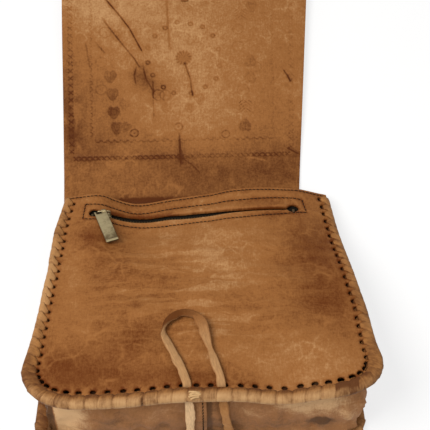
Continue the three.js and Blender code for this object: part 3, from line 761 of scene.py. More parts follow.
# Lighter and darker patches over the front panel's tone.
FRONT_TONE_PATCHES = (
    (-105, -185, 40, 30, -0.3), (-30, -195, 60, 14, -0.24), (105, -120, 32, 65, -0.28),
    (95, -50, 30, 30, -0.12), (-105, -75, 14, 50, 0.08), (-10, -55, 60, 30, 0.18),
    (75, -175, 35, 30, 0.12), (-60, -90, 50, 30, -0.08), (0, -120, 50, 30, 0.1),
    (125, -203, 14, 6, -0.35), (-60, -28, 50, 12, 0.05), (-85, -42, 22, 28, -0.14),
    (52, -16, 18, 12, -0.16), (108, -32, 10, 30, -0.1), (10, -90, 30, 24, 0.12),
    (-57, -162, 18, 18, -0.14), (12, -202, 40, 10, -0.18), (-116, -104, 8, 40, -0.1),
    (0, -8, 160, 16, -0.1), (12, -178, 20, 20, 0.12), (-94, -120, 20, 20, -0.12),
    (-35, -135, 25, 20, -0.1), (0, -30, 100, 20, -0.06), (-80, -50, 30, 30, -0.1),
    (-60, -170, 60, 30, -0.08), (-92, -55, 20, 20, -0.12), (63, -28, 20, 14, -0.1),
    (90, -68, 26, 26, -0.1), (100, -182, 26, 20, 0.16), (62, -95, 40, 60, -0.07),
)
front_tone = 0.5 + patches(front_x, front_v, FRONT_TONE_PATCHES)
FRONT_WRINKLES = ((-45, -90, 60, 50, 0.9), (8, -140, 60, 45, 0.9), (90, -100, 50, 60, 0.22))
front_crease = np.clip(patches(front_x, front_v, FRONT_WRINKLES), 0, 1)
slot_middle = through(SLOT_MIDDLE, front_x)
slot_half = through(SLOT_HALF, front_x)
above_lip = front_v - slot_middle - slot_half
below_lip = slot_middle - slot_half - front_v
lip_run = between(-0.045, -0.005, front_x) * between(0.0765, 0.074, front_x)
lip = lip_run * np.exp(-np.abs((above_lip - 0.0027) / 0.0028) ** 3) * (above_lip > 0)
dip_run = between(-0.083, -0.07, front_x) * between(-0.005, -0.045, front_x)
dip = dip_run * between(0.0055, 0.0005, above_lip) * (above_lip > 0)
lower_lip = np.exp(-(((below_lip - 0.0012) / 0.002) ** 2)) * (below_lip > 0)
lower_lip = between(-0.086, -0.07, front_x) * lower_lip
seam = np.exp(-((line_gap(front_flat, hem_line) / SEAM_WIDTH) ** 2))
seam += np.exp(-((line_gap(front_flat, frame_line) / SEAM_WIDTH) ** 2))
front_relief = LIP_RISE * lip - DIP_SINK * dip + LOWER_LIP_RISE * lower_lip - SEAM_SINK * seam
# Tone: painted shade along the stitch grooves and in the dip above the slot's left part; lighter on the
# raised lips, partly the turned edge's paler colour and partly a painted highlight.
front_tone = front_tone - 0.3 * seam + 0.1 * lower_lip + 0.06 * lip - 0.4 * dip
hole_walls = np.vstack(front_holes + slit_cuts + [zip_slot])
wall_gap = gap_to(front_flat, hole_walls)
# Painted shade: the cut walls of the holes, slits and slot are darker.
front_tone = front_tone - 0.22 * (wall_gap < 1e-5)
front_face = on_front(front_x, front_v, LEATHER)
front_marks = {"tone": front_tone, "crease": front_crease}
front_panel = leather_piece("front_leather", front_flat, front_triangles, front_face, LEATHER, front_marks,
                            front_relief, between(0.0, 0.001, wall_gap))
front_panel.data.materials.append(hide_material("front_hide", Mottle=0.38, Veins=0.14))
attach(front_panel, "bag")
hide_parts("front_panel")

# Gusset: the bag's side walls and bottom, two strips of thinner leather lapped and sewn at the middle
# of the bottom, skived thin at the corners. Their edges, turned under the two panels' rims and laced
# there, are given painted shade: dark, and near-black where they show through the lace holes.
GUSSET_LEATHER = 0.002
FLANGE_PAST_HOLES = 0.003
LAP_LEFT_END = 0.0015
LAP_RIGHT_END = -0.0083
LAP_HALF = (0.02, 0.004)
LEFT_LAP_RISE = 0.0016
RIGHT_LAP_RISE = -0.0012
GUSSET_STEP = 0.003
SECTION_STEPS = 34
WALL_LEVELS = (0.22, 0.45, 0.68, 0.87)
FOOT_INSET = 0.0125
FOLD_HEIGHT = 0.009
UNDER_LEATHER = 0.0021
FLANGE_EDGE = 0.0022
SKIVED_AWAY = 0.7
COARSE_WRINKLES = 0.0011
FINE_WRINKLES = 0.0006
# Gusset bottom patches: lighter and darker patches, a real dark stain on the right, painted shade beside the
# lap's edge, and two small dark spots at the left corner.
GUSSET_STAINS_AND_SHADE = (
    (-117, 45, 20, 60, 0.66), (100, 70, 26, 26, 0.22), (-122.5, 68, 2.4, 6, -1.5),
    (-123.5, 42, 3, 9, -1.5), (85, 62, 26, 30, 0.3), (91, 34, 9, 5.5, -1.0), (75, 60, 26, 30, 0.1),
    (4.6, 45, 1.4, 90, -0.7), (-50, 60, 30, 30, 0.12),
)


def smooth_rows(rows, count):
    """A smooth curve through rows of points, sampled evenly: shape (count, points, 3)."""
    rows = np.asarray(rows, float)
    padded = np.concatenate((2 * rows[:1] - rows[1:2], rows, 2 * rows[-1:] - rows[-2:-1]))
    at = np.linspace(0, len(rows) - 1, count)
    i = np.minimum(at.astype(int), len(rows) - 2)
    t = (at - i).reshape((-1,) + (1,) * (rows.ndim - 1))
    a, b, c, d = padded[i], padded[i + 1], padded[i + 2], padded[i + 3]
    return 0.5 * (2 * b + (c - a) * t + (2 * a - 5 * b + 4 * c - d) * t**2 + (3 * b - a - 3 * c + d) * t**3)


bottom_middle = np.interp(0.0, front_rim[:, 1][200:-200], front_rim[:, 0][200:-200]) / front_rim[-1, 0]
back_middle = np.interp(-BACK_SHIFT, back_rim[:, 1][200:-200], back_rim[:, 0][200:-200])


def gusset_rows(share):
    """The gusset's outer face from the front rim down the wall to the back rim, at shares of its length."""
    front = share * front_rim[-1, 0]
    back = np.interp(share, (0, bottom_middle, 1), (0, back_middle, back_rim[-1, 0]))
    low = between(0.06, 0.02, np.abs(share - bottom_middle) - 0.16)
    left_corner = between(0.13, 0.17, bottom_middle - share) * between(0.3, 0.22, bottom_middle - share)
    foot_inset = FOOT_INSET - 0.0065 * low * (1 - left_corner) + 0.001 * left_corner

    def under_front(inset, lift):
        return on_front(*rim_at(front_rim, front, inset), lift)

    def over_back(inset, rise):
        return on_back(*rim_at(back_rim, back, inset), LEATHER + rise)

    wall_inset = hole_inset(front_rim, front) + FLANGE_PAST_HOLES
    top = under_front(wall_inset, -FOLD_HEIGHT)
    foot = over_back(foot_inset, FOLD_HEIGHT)
    out_x, out_v = (np.interp(back, back_rim[:, 0], back_rim[:, k]) for k in (3, 4))
    outward = np.column_stack((out_x, out_v, np.zeros_like(share)))
    tall = np.clip((top[:, 2] - foot[:, 2]) / BASE_HEIGHT, 0, 1)
    bulge = (-0.005 + 0.0145 * tall + 0.0016 * ripple(back, back * 0, 0.05, 31))[:, None] * outward
    bulge = bulge * (1 - 0.6 * left_corner)[:, None]
    walls = [
        top + (foot - top) * t + bulge * math.sin(math.pi * min(t * 1.15, 1)) ** 0.8 for t in WALL_LEVELS
    ]
    return [
        under_front(FLANGE_EDGE, -UNDER_LEATHER), under_front(0.006, -UNDER_LEATHER),
        under_front(wall_inset - 0.0035, -0.0023), under_front(wall_inset - 0.0004, -FOLD_HEIGHT / 2), top,
        *walls, foot, over_back(foot_inset - 0.0004, FOLD_HEIGHT / 2), over_back(foot_inset * 0.8, 0.0024),
        over_back(foot_inset * 0.5, UNDER_LEATHER), over_back(FLANGE_EDGE, UNDER_LEATHER),
    ]


def grid_triangles(rows, columns):
    """Two triangles for each square of a grid of points."""
    grid = np.arange(rows * columns).reshape(rows, columns)
    corners = (grid[:-1, :-1], grid[1:, :-1], grid[1:, 1:], grid[:-1, 1:])
    a, b, c, d = (corner.ravel() for corner in corners)
    return np.vstack((np.column_stack((a, b, c)), np.column_stack((a, c, d))))


def gusset_half(name, start_share, end_share, lap_share, lap_rise, seed):
    """One half of the gusset, and its outer face as a grid of points."""
    rim_length = front_rim[-1, 0]
    stations = int((end_share - start_share) * rim_length / GUSSET_STEP)
    share = np.linspace(start_share, end_share, stations)
    face = smooth_rows(gusset_rows(share), SECTION_STEPS)
    steps_down = np.linalg.norm(np.diff(face, axis=0), axis=2)
    down = np.concatenate((np.zeros((1, stations)), np.cumsum(steps_down, axis=0)))
    flat = np.column_stack((np.tile(share * rim_length, SECTION_STEPS), -down.ravel()))
    triangles = grid_triangles(SECTION_STEPS, stations)
    face = face.reshape(-1, 3)
    shares = np.tile(share, SECTION_STEPS)
    level = np.linspace(0, 1, SECTION_STEPS)
    wall = (np.sin(np.pi * level) ** 1.5).repeat(stations)
    lap = between(*LAP_HALF, np.abs(shares - lap_share) * rim_length)
    wrinkle = COARSE_WRINKLES * ripple(*flat.T, 0.028, seed, stretch=0.5)
    wrinkle += FINE_WRINKLES * ripple(*flat.T, 0.012, seed + 1, stretch=0.6)
    rise = wall * (wrinkle * (1 - lap) + lap * lap_rise)
    face = face + face_normals(face, triangles) * rise[:, None]
    covered = 1 - between(0.19, 0.26, level).repeat(stations)
    # Painted shade: the tone is lowered on the edges covered by the rims.
    tone = 0.39 + 0.1 * ripple(*flat.T, 0.05, seed + 2) - 0.3 * covered
    bottom_end = between(-0.066, -0.088, face[:, 1])
    # Painted shade: the side wall at the left corner, past x = -118 mm, is darker than the bottom wall.
    stained_and_shaded = patches(face[:, 0], face[:, 2], GUSSET_STAINS_AND_SHADE) - between(-0.1175, -0.1205, face[:, 0])
    tone += bottom_end * stained_and_shaded
    from_middle = np.abs(shares - bottom_middle)
    skived = between(0.12, 0.16, from_middle) * between(0.32, 0.26, from_middle)
    piece = leather_piece(name, flat, triangles, face, GUSSET_LEATHER * (1 - SKIVED_AWAY * skived),
                          {"tone": tone, "crease": 0.4 * wall}, under_flesh=(1 - covered) * (1 - skived))
    # Faces on the covered edges take the second, near-black material: painted shade.
    turned_under = np.concatenate((covered, covered)) > 0.5
    for polygon in piece.data.polygons:
        polygon.material_index = int(turned_under[polygon.vertices[0]])
    return piece, face.reshape(SECTION_STEPS, stations, 3)


lap_left = bottom_middle + LAP_LEFT_END / front_rim[-1, 0]
lap_right = bottom_middle + LAP_RIGHT_END / front_rim[-1, 0]
gusset_hide = hide_material(
    "gusset_hide", Dark=(0.1, 0.042, 0.014, 1), Middle=(0.28, 0.122, 0.044, 1), Light=(0.55, 0.335, 0.165, 1)
)
# A near-black copy of the hide for the covered edges: painted shade seen through the lace holes.
flange_shade_hide = hide_material(
    "flange_shade_hide", Dark=(0.02, 0.008, 0.003, 1), Middle=(0.05, 0.02, 0.008, 1), Light=(0.08, 0.034, 0.014, 1)
)
gusset_left, left_face = gusset_half("gusset_left_leather", 0.0, lap_left, lap_left, LEFT_LAP_RISE, 41)
gusset_right, right_face = gusset_half(
    "gusset_right_leather", lap_right, 1.0, lap_right, RIGHT_LAP_RISE, 51
)
for piece, node in ((gusset_left, "gusset_left"), (gusset_right, "gusset_right")):
    piece.data.materials.append(gusset_hide)
    piece.data.materials.append(flange_shade_hide)
    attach(piece, "bag")
    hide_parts(node)

# Edge laces: flat strips of calf about 7 mm wide, whipped over both rims through the punched holes.
# Each turn is squeezed narrow in its hole and spreads over the edge, where it is rubbed pale.
LACE = 0.0015
LACE_SKEW = -0.45
LACE_IN_HOLE = 0.42
LACE_SPREADS = 0.74
TURN_STEPS = 24
# Tone patches on the front lace: a real dark stain at the right corner, painted shade at the left corner and
# painted light up the left side.
FRONT_LACE_STAINS_AND_LIGHT = (
    (110, -209.5, 9, 4.5, -0.55), (-142, -192, 16, 22, -0.22), (-120, -216, 12, 5, -0.35),
    (-125, -100, 20, 36, 0.3),
)
SMOOTH_CORNERS = ((-139, -196, 24, 30, 1.2), (138, -192, 32, 34, 1.2), (130, -100, 30, 90, 0.5))
# Where the left side's turns are paled through the rubbed mark: painted light.
PAINTED_LIGHT_SIDE = ((-125, -100, 20, 40, 1.0),)
# Painted shade on the back lace's lower left corner.
BACK_LACE_SHADE = ((-135, -200, 30, 50, -0.15),)
LENS = (
    (-1, 0.0), (-0.9, 0.6), (-0.55, 0.9), (0, 1), (0.55, 0.9), (0.9, 0.6), (1, 0.0), (0.7, -0.7),
    (0, -0.8), (-0.7, -0.7),
)


def join_rings(faces, first, ring, count, order=(0, 1, 2, 3), ends="capped"):
    """Adds the faces between rings of points, with the ends capped, left open or joined to each other."""
    for k in range(count if ends == "joined" else count - 1):
        here = first + k * ring
        there = first + (k + 1) % count * ring
        for j in range(ring):
            corners = (here + j, here + (j + 1) % ring, there + (j + 1) % ring, there + j)
            faces.append(tuple(corners[i] for i in order))
    if ends == "capped":
        way = 1 if order[2] > order[1] else -1
        last = first + (count - 1) * ring
        faces.append(tuple(range(first, first + ring))[::-way])
        faces.append(tuple(range(last, last + ring))[::way])


def whip_rim(name, rim, stations, insets, place, top, under, stains_and_light, seed):
    """Turns of lace over a rim; place gives a point from the flat place and the lift of its faces."""
    rng = np.random.default_rng(seed)
    points, faces, flat, tone, wear_and_lit_side = [], [], [], [], []
    pitches = np.append(np.diff(stations), stations[-1] - stations[-2])
    for along, inset, pitch in zip(stations, insets, pitches):
        edge = rim_at(rim, along, 0)
        low = float(between(-0.19, -0.212, edge[1]))
        skew = pitch * ((1 - 0.6 * low) * LACE_SKEW + rng.uniform(-0.1, 0.1)) * between(0.004, 0.014, along)
        over = top + LACE * (0.62 + rng.uniform(0, 0.22))
        below = under - LACE * 0.75
        start = 0.0005 + 0.0014 * low
        turn = np.array((
            (along, inset - start, top - 0.0021),
            (along + 0.05 * skew, inset - start - 0.0008, top - 0.0004),
            (along + 0.2 * skew, inset - start - 0.0022, top + LACE * 0.35),
            (along + 0.55 * skew, inset * 0.5, over),
            (along + 0.85 * skew, 0.0036, over + LACE * 0.1),
            (along + skew, 0.0014, over - LACE * 0.4),
            (along + skew, 0.0004, (top + under) / 2),
            (along + skew, 0.0014, below + LACE * 0.4),
            (along + 0.6 * skew, 0.0034, below),
            (along + 0.5 * pitch, inset * 0.6, below),
            (along + pitch, inset - 0.0012, below + LACE * 0.5),
            (along + pitch, inset - 0.0004, under + 0.0016),
        ))
        path = smooth_rows(turn, TURN_STEPS)
        path[:, 0] = np.clip(path[:, 0], 0.001, rim[-1, 0] - 0.001)
        at = np.linspace(0, 1, TURN_STEPS)
        spread = np.clip((at - 0.03) / (0.3 - 0.12 * low), 0, 1) * between(0.98, 0.72, at)
        half = 0.5 * pitch * (LACE_IN_HOLE + 0.04 * low + LACE_SPREADS * spread)
        middle = place(*rim_at(rim, path[:, 0], path[:, 1]), path[:, 2])
        ahead = place(*rim_at(rim, path[:, 0] + 0.0005, path[:, 1]), path[:, 2])
        width_way = unit(ahead - middle)
        lift_way = unit(np.cross(np.gradient(middle, axis=0), width_way))
        outside = middle[TURN_STEPS // 2] - middle.mean(0)
        if lift_way[TURN_STEPS // 2] @ outside < 0:
            lift_way = -lift_way
        first = len(points)
        # worn here is how far a turn lies in a smoothed corner: flatter, wider, less split and a little
        # darker.
        worn = float(np.clip(patches(*edge, SMOOTH_CORNERS), 0, 1))
        shade = rng.uniform(-0.1, 0.12) * (1 - worn) - 0.1 * worn
        length = distances(middle)
        rubbed = (0.25 + 0.75 * low) * between(0.008, 0.0015, path[:, 1]) * between(0.95, 0.6, at)
        # Its second term paints light on the left side's turns.
        rubbed = rubbed * (1 - 0.6 * worn) + 0.4 * patches(*edge, PAINTED_LIGHT_SIDE) * between(0.9, 0.6, at)
        shades = shade + patches(*rim_at(rim, path[:, 0], path[:, 1]), stains_and_light)
        shades = shades - 0.24 * low * between(0.005, 0.0095, path[:, 1]) * (at < 0.5)
        half = half * (1 + 0.12 * worn)
        crown = LACE / 2 * (1 - 0.45 * worn)
        # Painted shade: each turn darkens towards its edges, drawing dark lines between the turns, and is
        # darker still where it enters its hole.
        edge_dark = 0.9 * (1 - 0.8 * worn)
        for k in range(TURN_STEPS):
            in_hole = 2.0 * (k < 2)
            for across, lift in LENS:
                points.append(middle[k] + width_way[k] * across * half[k] + lift_way[k] * lift * crown)
                flat.append((across * half[k] + along * 3, length[k]))
                tone.append(shades[k] - edge_dark * max(0.0, abs(across) - 0.7) - in_hole)
                wear_and_lit_side.append(float(rubbed[k]))
        join_rings(faces, first, len(LENS), TURN_STEPS)
    return add_piece(name, points, faces, flat, {"tone": tone, "wear_and_lit_side": wear_and_lit_side}, 60)


def make_lace_material(name, dark, middle, pale):
    """Split calf lace: fibrous, unevenly dark, and pale where the mesh is marked as rubbed; that mark also
    carries painted light on one side.
    """
    made, tree, shader = new_material(name)
    flat = add_node(tree, "UVMap", uv_map="flat").outputs[0]
    fibres = noise(tree, stretch(tree, flat, (900.0, 120.0, 1.0)), 1.0, 3.0, 0.6)
    blotches = noise(tree, flat, 140.0, 4.0, 0.6)
    shade = weigh(tree, blotches, 0.9, mark_value(tree, "tone"))
    shade = weigh(tree, fibres, 0.5, shade)
    body = mix_colour(tree, ramp(tree, shade, -0.45, 0.35), dark, middle)
    rubbed = maths(tree, "MULTIPLY", mark_value(tree, "wear_and_lit_side"), ramp(tree, shade, -0.5, 0.3))
    colour = mix_colour(tree, rubbed, body, pale)
    relief = add_node(tree, "Bump", {"Strength": 0.4, "Distance": 0.0005, "Height": fibres})
    tree.links.new(colour, shader.inputs["Base Color"])
    tree.links.new(maths(tree, "MULTIPLY_ADD", blotches, 0.2, 0.55), shader.inputs["Roughness"])
    tree.links.new(relief.outputs[0], shader.inputs["Normal"])
    shader.inputs["Specular IOR Level"].default_value = 0.12
    return made


front_lace = whip_rim("front_lace", front_rim, front_stations, front_insets, on_front, LEATHER,
                      -GUSSET_LEATHER, FRONT_LACE_STAINS_AND_LIGHT, 61)
back_stations = lace_stations(back_rim, 23)
back_insets = lace_insets(back_rim, back_stations, 24)
back_lace = whip_rim("back_lace", back_rim, back_stations, back_insets, on_back,
                     LEATHER + GUSSET_LEATHER, 0.0, BACK_LACE_SHADE, 62)
lace_calf = make_lace_material(
    "lace_calf", (0.1, 0.034, 0.009, 1), (0.355, 0.155, 0.044, 1), (0.44, 0.258, 0.116, 1)
)
for piece, node in ((front_lace, "front_edge_lace"), (back_lace, "back_edge_lace")):
    piece.data.materials.append(lace_calf)
    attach(piece, "bag")
    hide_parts(node)

# Closing thong: one flat leather thong, flesh side out, that makes the loop on the front. Its two ends
# go through the slits and the bottom of the bag and hang out under the rim.
THONG_WIDTH = 0.0072
THONG_THICKNESS = 0.0023
WIDTH_UNEVEN = 0.07
EDGE_NICKS = 0.09
FLESH_LEVELS = ((0.6, 1.0), (0.3, 0.8), (-0.6, 0.25))
GUSSET_CLEAR = 0.0017
LYING_BELOW = 0.012
LOOP_ROUTE = (
    (-12.7, -0.9, -2.4), (-12.8, 0.1, 0.4), (-13.4, 2.6, 2.2), (-15.5, 9.5, 3.2), (-19.2, 19, 3.6),
    (-22.2, 26, 4), (-24.6, 31.9, 4.3), (-27.4, 38, 4.5), (-29.3, 43.7, 4.6), (-30.2, 49, 4.6),
    (-30, 54, 4.4), (-28.2, 58.6, 4.1), (-25.5, 62.2, 3.8), (-22.2, 64.8, 3.5), (-18.5, 66.8, 3.3),
    (-14.5, 67.8, 3.2), (-10.3, 67.4, 3.2), (-6.6, 65.8, 3.3), (-3.5, 62.8, 3.5), (-1.2, 59, 3.8),
    (0.2, 54.6, 4.1), (1.1, 49.6, 4.4), (2.2, 43.6, 4.6), (3.6, 37.3, 4.6), (5.3, 30.5, 4.4),
    (7.3, 23.5, 4.1), (9.3, 16, 3.7), (11.6, 8.5, 3.2), (12.8, 2.6, 2.2), (13.2, 0.1, 0.4),
    (13.3, -0.9, -2.4),
)
LOOP_ROLL = (
    0, 0, 0, 0, -4, -8, -14, -20, -32, -60, -105, -145, -168, -178, -180, -180, -180, -180, -184, -190,
    -196, -198, -194, -186, -176, -170, -176, -180, -180, -180, -180,
)
LOOP_TAPER = (
    0.95, 0.97, 1, 1, 1, 0.98, 1, 1.02, 1, 0.9, 0.8, 0.9, 1, 1, 0.95, 0.92, 0.95, 1, 1.1, 1.18, 1.2, 1.16,
    1.08, 0.92, 0.7, 0.88, 1.05, 1.02, 1, 0.97, 0.95,
)
LOOP_RUBBED = (0,) * 16 + (0.04, 0.06, 0.1, 0.18, 0.32, 0.5, 0.66, 0.8, 0.7, 0.9, 1, 1, 1, 1, 1)
LOOP_BEND_TONE = (0.2, 0.12, 0.06, 0.03, 0.02, 0.03, 0.05, 0.1, 0.16, 0.22, 0.28, 0.32, 0.34)
LOOP_TONE = (0.3,) * 8 + LOOP_BEND_TONE + (0.4,) * 10
LEFT_END_ROUTE = (
    (-12.3, -87, 79.2), (-12, -88.4, 75.2), (-11.6, -91.4, 70.6), (-11.3, -95.6, 64.6), (-11.3, -98.5, 57),
    (-11.4, -100, 49), (-11.5, -101, 41), (-11.6, -101.8, 33), (-11.7, -102.5, 25.5), (-11.9, -104, 18.5),
    (-12.1, -107, 12.8), (-12.4, -112, 9.6), (-12.7, -117, 6.4), (-13, -122, 3.8), (-13.4, -128, 2.8),
    (-13.8, -134.5, 2.6),
)
RIGHT_END_ROUTE = (
    (13.6, -87, 79.2), (13.9, -88.4, 75.2), (14.5, -91.4, 70.6), (15.2, -95.6, 64.6), (15.9, -98.5, 57),
    (16.6, -100, 49), (17.4, -101, 41), (18.2, -101.8, 33), (19, -102.5, 25.5), (19.8, -104, 18.5),
    (20.5, -107, 12.8), (21.3, -112, 9.6), (22.2, -117, 6.4), (23.2, -122, 3.8), (24.4, -128, 2.8),
    (25.7, -134.5, 2.6),
)
THONG_RING = (
    (-1, 0.05), (-0.94, 0.5), (-0.75, 0.78), (-0.38, 0.96), (0, 1), (0.38, 0.96), (0.75, 0.78),
    (0.94, 0.5), (1, 0.05), (0.98, -0.5), (0.9, -0.85), (0.7, -1), (0, -1), (-0.7, -1), (-0.9, -0.85),
    (-0.98, -0.5),
)


def smooth_list(values, count):
    """Single values drawn out smoothly to a longer list."""
    return smooth_rows(np.array(values, float)[:, None], count)[:, 0]


def strip_mesh(route, up, rolls, count, width, thickness, seed, first=0, taper=(1, 1), rubbed=(0, 0)):
    """A flat strip along a route; up is the way its flesh face looks before it is rolled."""
    middle = smooth_rows(route, count)
    roll = np.radians(smooth_list(rolls, count))
    up = smooth_rows(np.asarray(up, float) + np.zeros((len(route), 3)), count)
    run = unit(np.gradient(middle, axis=0))
    side = unit(np.cross(run, up))
    out = np.cross(side, run)
    width_way = side * np.cos(roll)[:, None] + out * np.sin(roll)[:, None]
    face_way = out * np.cos(roll)[:, None] - side * np.sin(roll)[:, None]
    length = distances(middle)
    half = width / 2 * (1 + WIDTH_UNEVEN * ripple(length, length * 0, 0.022, seed))
    half = half * smooth_list(taper, count)
    pale = np.clip(smooth_list(rubbed, count), 0, 1)
    nick = 1 + EDGE_NICKS * ripple(length, length * 0, 0.009, seed + 1)
    points, faces, flat, flesh = [], [], [], []
    for k in range(count):
        for across, lift in THONG_RING:
            reach = across * half[k] * (nick[k] if across < 0 else 1)
            points.append(middle[k] + width_way[k] * reach + face_way[k] * lift * thickness / 2)
            flat.append((reach + 0.02 * lift * (lift < 0) + seed * 0.1, length[k]))
            grain_side = pale[k] if abs(across) < 0.8 else 0.5 * pale[k]
            flesh.append(next((share for above, share in FLESH_LEVELS if lift > above), grain_side))
    join_rings(faces, first, len(THONG_RING), count, order=(0, 3, 2, 1))
    return points, faces, flat, flesh, middle


def thong(name, route, up, rolls, count, seed, tone, taper=(1, 1), rubbed=(0, 0)):
    """A length of thong with its marks, and the line of its middle."""
    points, faces, flat, flesh, middle = strip_mesh(
        route, up, rolls, count, THONG_WIDTH, THONG_THICKNESS, seed, taper=taper, rubbed=rubbed
    )
    tones = np.repeat(smooth_list(tone, count), len(THONG_RING))
    marks = {"flesh": flesh, "tone": tones, "crease": np.zeros(len(points))}
    return add_piece(name, points, faces, flat, marks, 55), middle


loop_x, loop_up, loop_height = (np.array(LOOP_ROUTE) * MM).T
loop_points = on_front(loop_x, loop_up - SLIT_DOWN, LEATHER + loop_height)


def outside_gusset(route, face):
    """Moves a hanging end's route out until it clears the gusset behind it."""
    points = np.array(route) * MM
    for p in points:
        near = np.linalg.norm(face[:, :, [0, 2]] - p[[0, 2]], axis=2) < 0.0055
        near &= face[:, :, 1] < -0.09
        if near.any() and p[2] > LYING_BELOW:
            p[1] = min(p[1], face[near][:, 1].min() - GUSSET_CLEAR)
    return points


left_points = outside_gusset(LEFT_END_ROUTE, left_face)
right_points = outside_gusset(RIGHT_END_ROUTE, right_face)
END_UP = np.array([(0.0, -1.0, 0.15)] * 9 + [
    (0, -0.85, 0.5), (0, -0.7, 0.7), (0, -0.5, 0.86), (0, -0.4, 0.9), (0, -0.2, 1), (0, -0.1, 1), (0, 0, 1)
])
closing_loop, loop_path = thong(
    "loop_thong", loop_points, FRONT_OUT, LOOP_ROLL, 120, 71, LOOP_TONE, LOOP_TAPER, LOOP_RUBBED
)
# The hanging ends are coloured lighter than the loop to make up for the shade under the rim: painted light,
# by a paler copy of the suede on the left end and a lighter tone on the right end.
left_end, left_path = thong("left_thong_end", left_points, END_UP, [0] * 16, 60, 72, [0.42] * 16)
right_end, right_path = thong(
    "right_thong_end", right_points, END_UP, [168] * 16, 60, 73, [0.66] * 16, rubbed=[0.12] * 16
)
thong_suede = hide_material("thong_suede", 0.4, Suede=(0.4, 0.217, 0.093, 1), Dark=(0.1, 0.03, 0.005, 1),
                            Middle=(0.27, 0.105, 0.028, 1), Light=(0.4, 0.19, 0.06, 1))
lit_end_suede = hide_material("lit_end_suede", 0.4, Suede=(0.66, 0.43, 0.235, 1))
for piece, node, path, end, suede in (
    (closing_loop, "closing_loop", loop_path, "object", thong_suede),
    (left_end, "loop_end_left", left_path, "bare", lit_end_suede),
    (right_end, "loop_end_right", right_path, "bare", thong_suede),
):
    piece.data.materials.append(suede)
    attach(piece, "bag")
    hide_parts(node)

# Lace splice: where two lengths of lace meet on the bottom rim their ends are slit into short pale
# tails, tucked under the last turn and left sticking out over it.
SPLICE_TAILS = (
    (-11.6, 5.6, -7.5, 5.0, -3.4, 4.4), (-10.8, 3.4, -7.0, 3.7, -2.6, 2.8),
    (-11.8, 0.6, -8.0, 1.6, -3.6, 2.0), (-10.2, -1.4, -7.0, -0.2, -4.0, 0.4),
    (-11.0, 2.2, -9.0, 3.0, -6.5, 4.6),
)
TAIL_WIDTH = 0.0017
TAIL_THICKNESS = 0.0008
TAIL_ARCH = (0.0003, 0.0009, 0.0002)
TAIL_LAYER = 0.00012
TAIL_ROLL = (8, -6, 10)
splice_points, splice_faces, splice_flat, splice_flesh = [], [], [], []
for turn, (x0, d0, x1, d1, x2, d2) in enumerate(SPLICE_TAILS):
    tail_x = np.array((x0, x1, x2)) * MM
    tail_v = -PANEL_LENGTH + np.array((d0, d1, d2)) * MM
    tail_lift = LEATHER + LACE + np.array(TAIL_ARCH) + TAIL_LAYER * turn
    tail_route = on_front(tail_x, tail_v, tail_lift)
    points, faces, flat, flesh, _ = strip_mesh(
        tail_route, FRONT_OUT, TAIL_ROLL, 9, TAIL_WIDTH, TAIL_THICKNESS, 90 + turn, len(splice_points)
    )
    splice_points += points
    splice_faces += faces
    splice_flat += flat
    splice_flesh += flesh
splice_count = len(splice_points)
splice_marks = {"flesh": splice_flesh, "tone": np.full(splice_count, 0.8), "crease": np.zeros(splice_count)}
lace_splice = add_piece("splice_tails", splice_points, splice_faces, splice_flat, splice_marks, 55)
lace_splice.data.materials.append(hide_material("splice_calf", 0.4, Suede=(0.54, 0.34, 0.16, 1)))
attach(lace_splice, "bag")
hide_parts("lace_splice")

# Zip tapes: two near-black woven tapes sewn behind the slot, sunk a little between the stitch rows so
# that the slider runs under the leather's lips.
ZIP_LEFT = -0.0955
ZIP_RIGHT = 0.0865
TAPE_SECTION = (
    (0.0008, -0.0025), (0.0044, -0.0023), (0.0074, -0.0008), (0.0118, -0.0003), (0.0118, -0.0008),
    (0.0072, -0.0013), (0.0044, -0.0028), (0.0008, -0.003),
)


def make_weave_group():
    """Plain weave: threads across each other, slightly uneven."""
    tree, given, result = group_tree(
        "plain_weave",
        [
            ("Flat", "Vector", None), ("Threads", "Float", 500.0),
            ("Warp", "Color", (0.008, 0.006, 0.004, 1)), ("Weft", "Color", (0.03, 0.022, 0.015, 1)),
        ],
        [("Color", "Color"), ("Height", "Float")],
    )
    wave = {"Vector": given["Flat"], "Scale": given["Threads"], "Distortion": 1.5}
    along, across = (add_node(tree, "TexWave", wave, bands_direction=way).outputs["Fac"] for way in "XY")
    weave = maths(tree, "MULTIPLY", along, across)
    tree.links.new(mix_colour(tree, weave, given["Warp"], given["Weft"]), result["Color"])
    tree.links.new(weave, result["Height"])
    return tree


weave_group = make_weave_group()


def woven_material(name, **values):
    """Matte cloth with the weave group's values."""
    made, tree, shader = new_material(name)
    flat = add_node(tree, "UVMap", uv_map="flat").outputs[0]
    weave = add_node(tree, "Group", {"Flat": flat, **values}, node_tree=weave_group).outputs
    relief = add_node(tree, "Bump", {"Strength": 0.5, "Distance": 0.0002, "Height": weave["Height"]})
    tree.links.new(weave["Color"], shader.inputs["Base Color"])
    tree.links.new(relief.outputs[0], shader.inputs["Normal"])
    shader.inputs["Roughness"].default_value = 0.85
    shader.inputs["Specular IOR Level"].default_value = 0.08
    return made


def along_zip(name, section, side, count=120):
    """A strip behind the slot with one cross-section, following the sag of the zip."""
    line = np.linspace(ZIP_LEFT, ZIP_RIGHT, count)
    middle = through(SLOT_MIDDLE, line)
    rows = [on_front(line, middle + side * gap, lift) for gap, lift in section]
    points = np.stack(rows, axis=1).reshape(-1, 3)
    faces = []
    join_rings(faces, 0, len(section), count, order=(0, 1, 2, 3)[::side])
    flat = np.column_stack((line.repeat(len(section)), np.tile([gap for gap, _ in section], count)))
    return add_piece(name, points, faces, flat, None, 50)


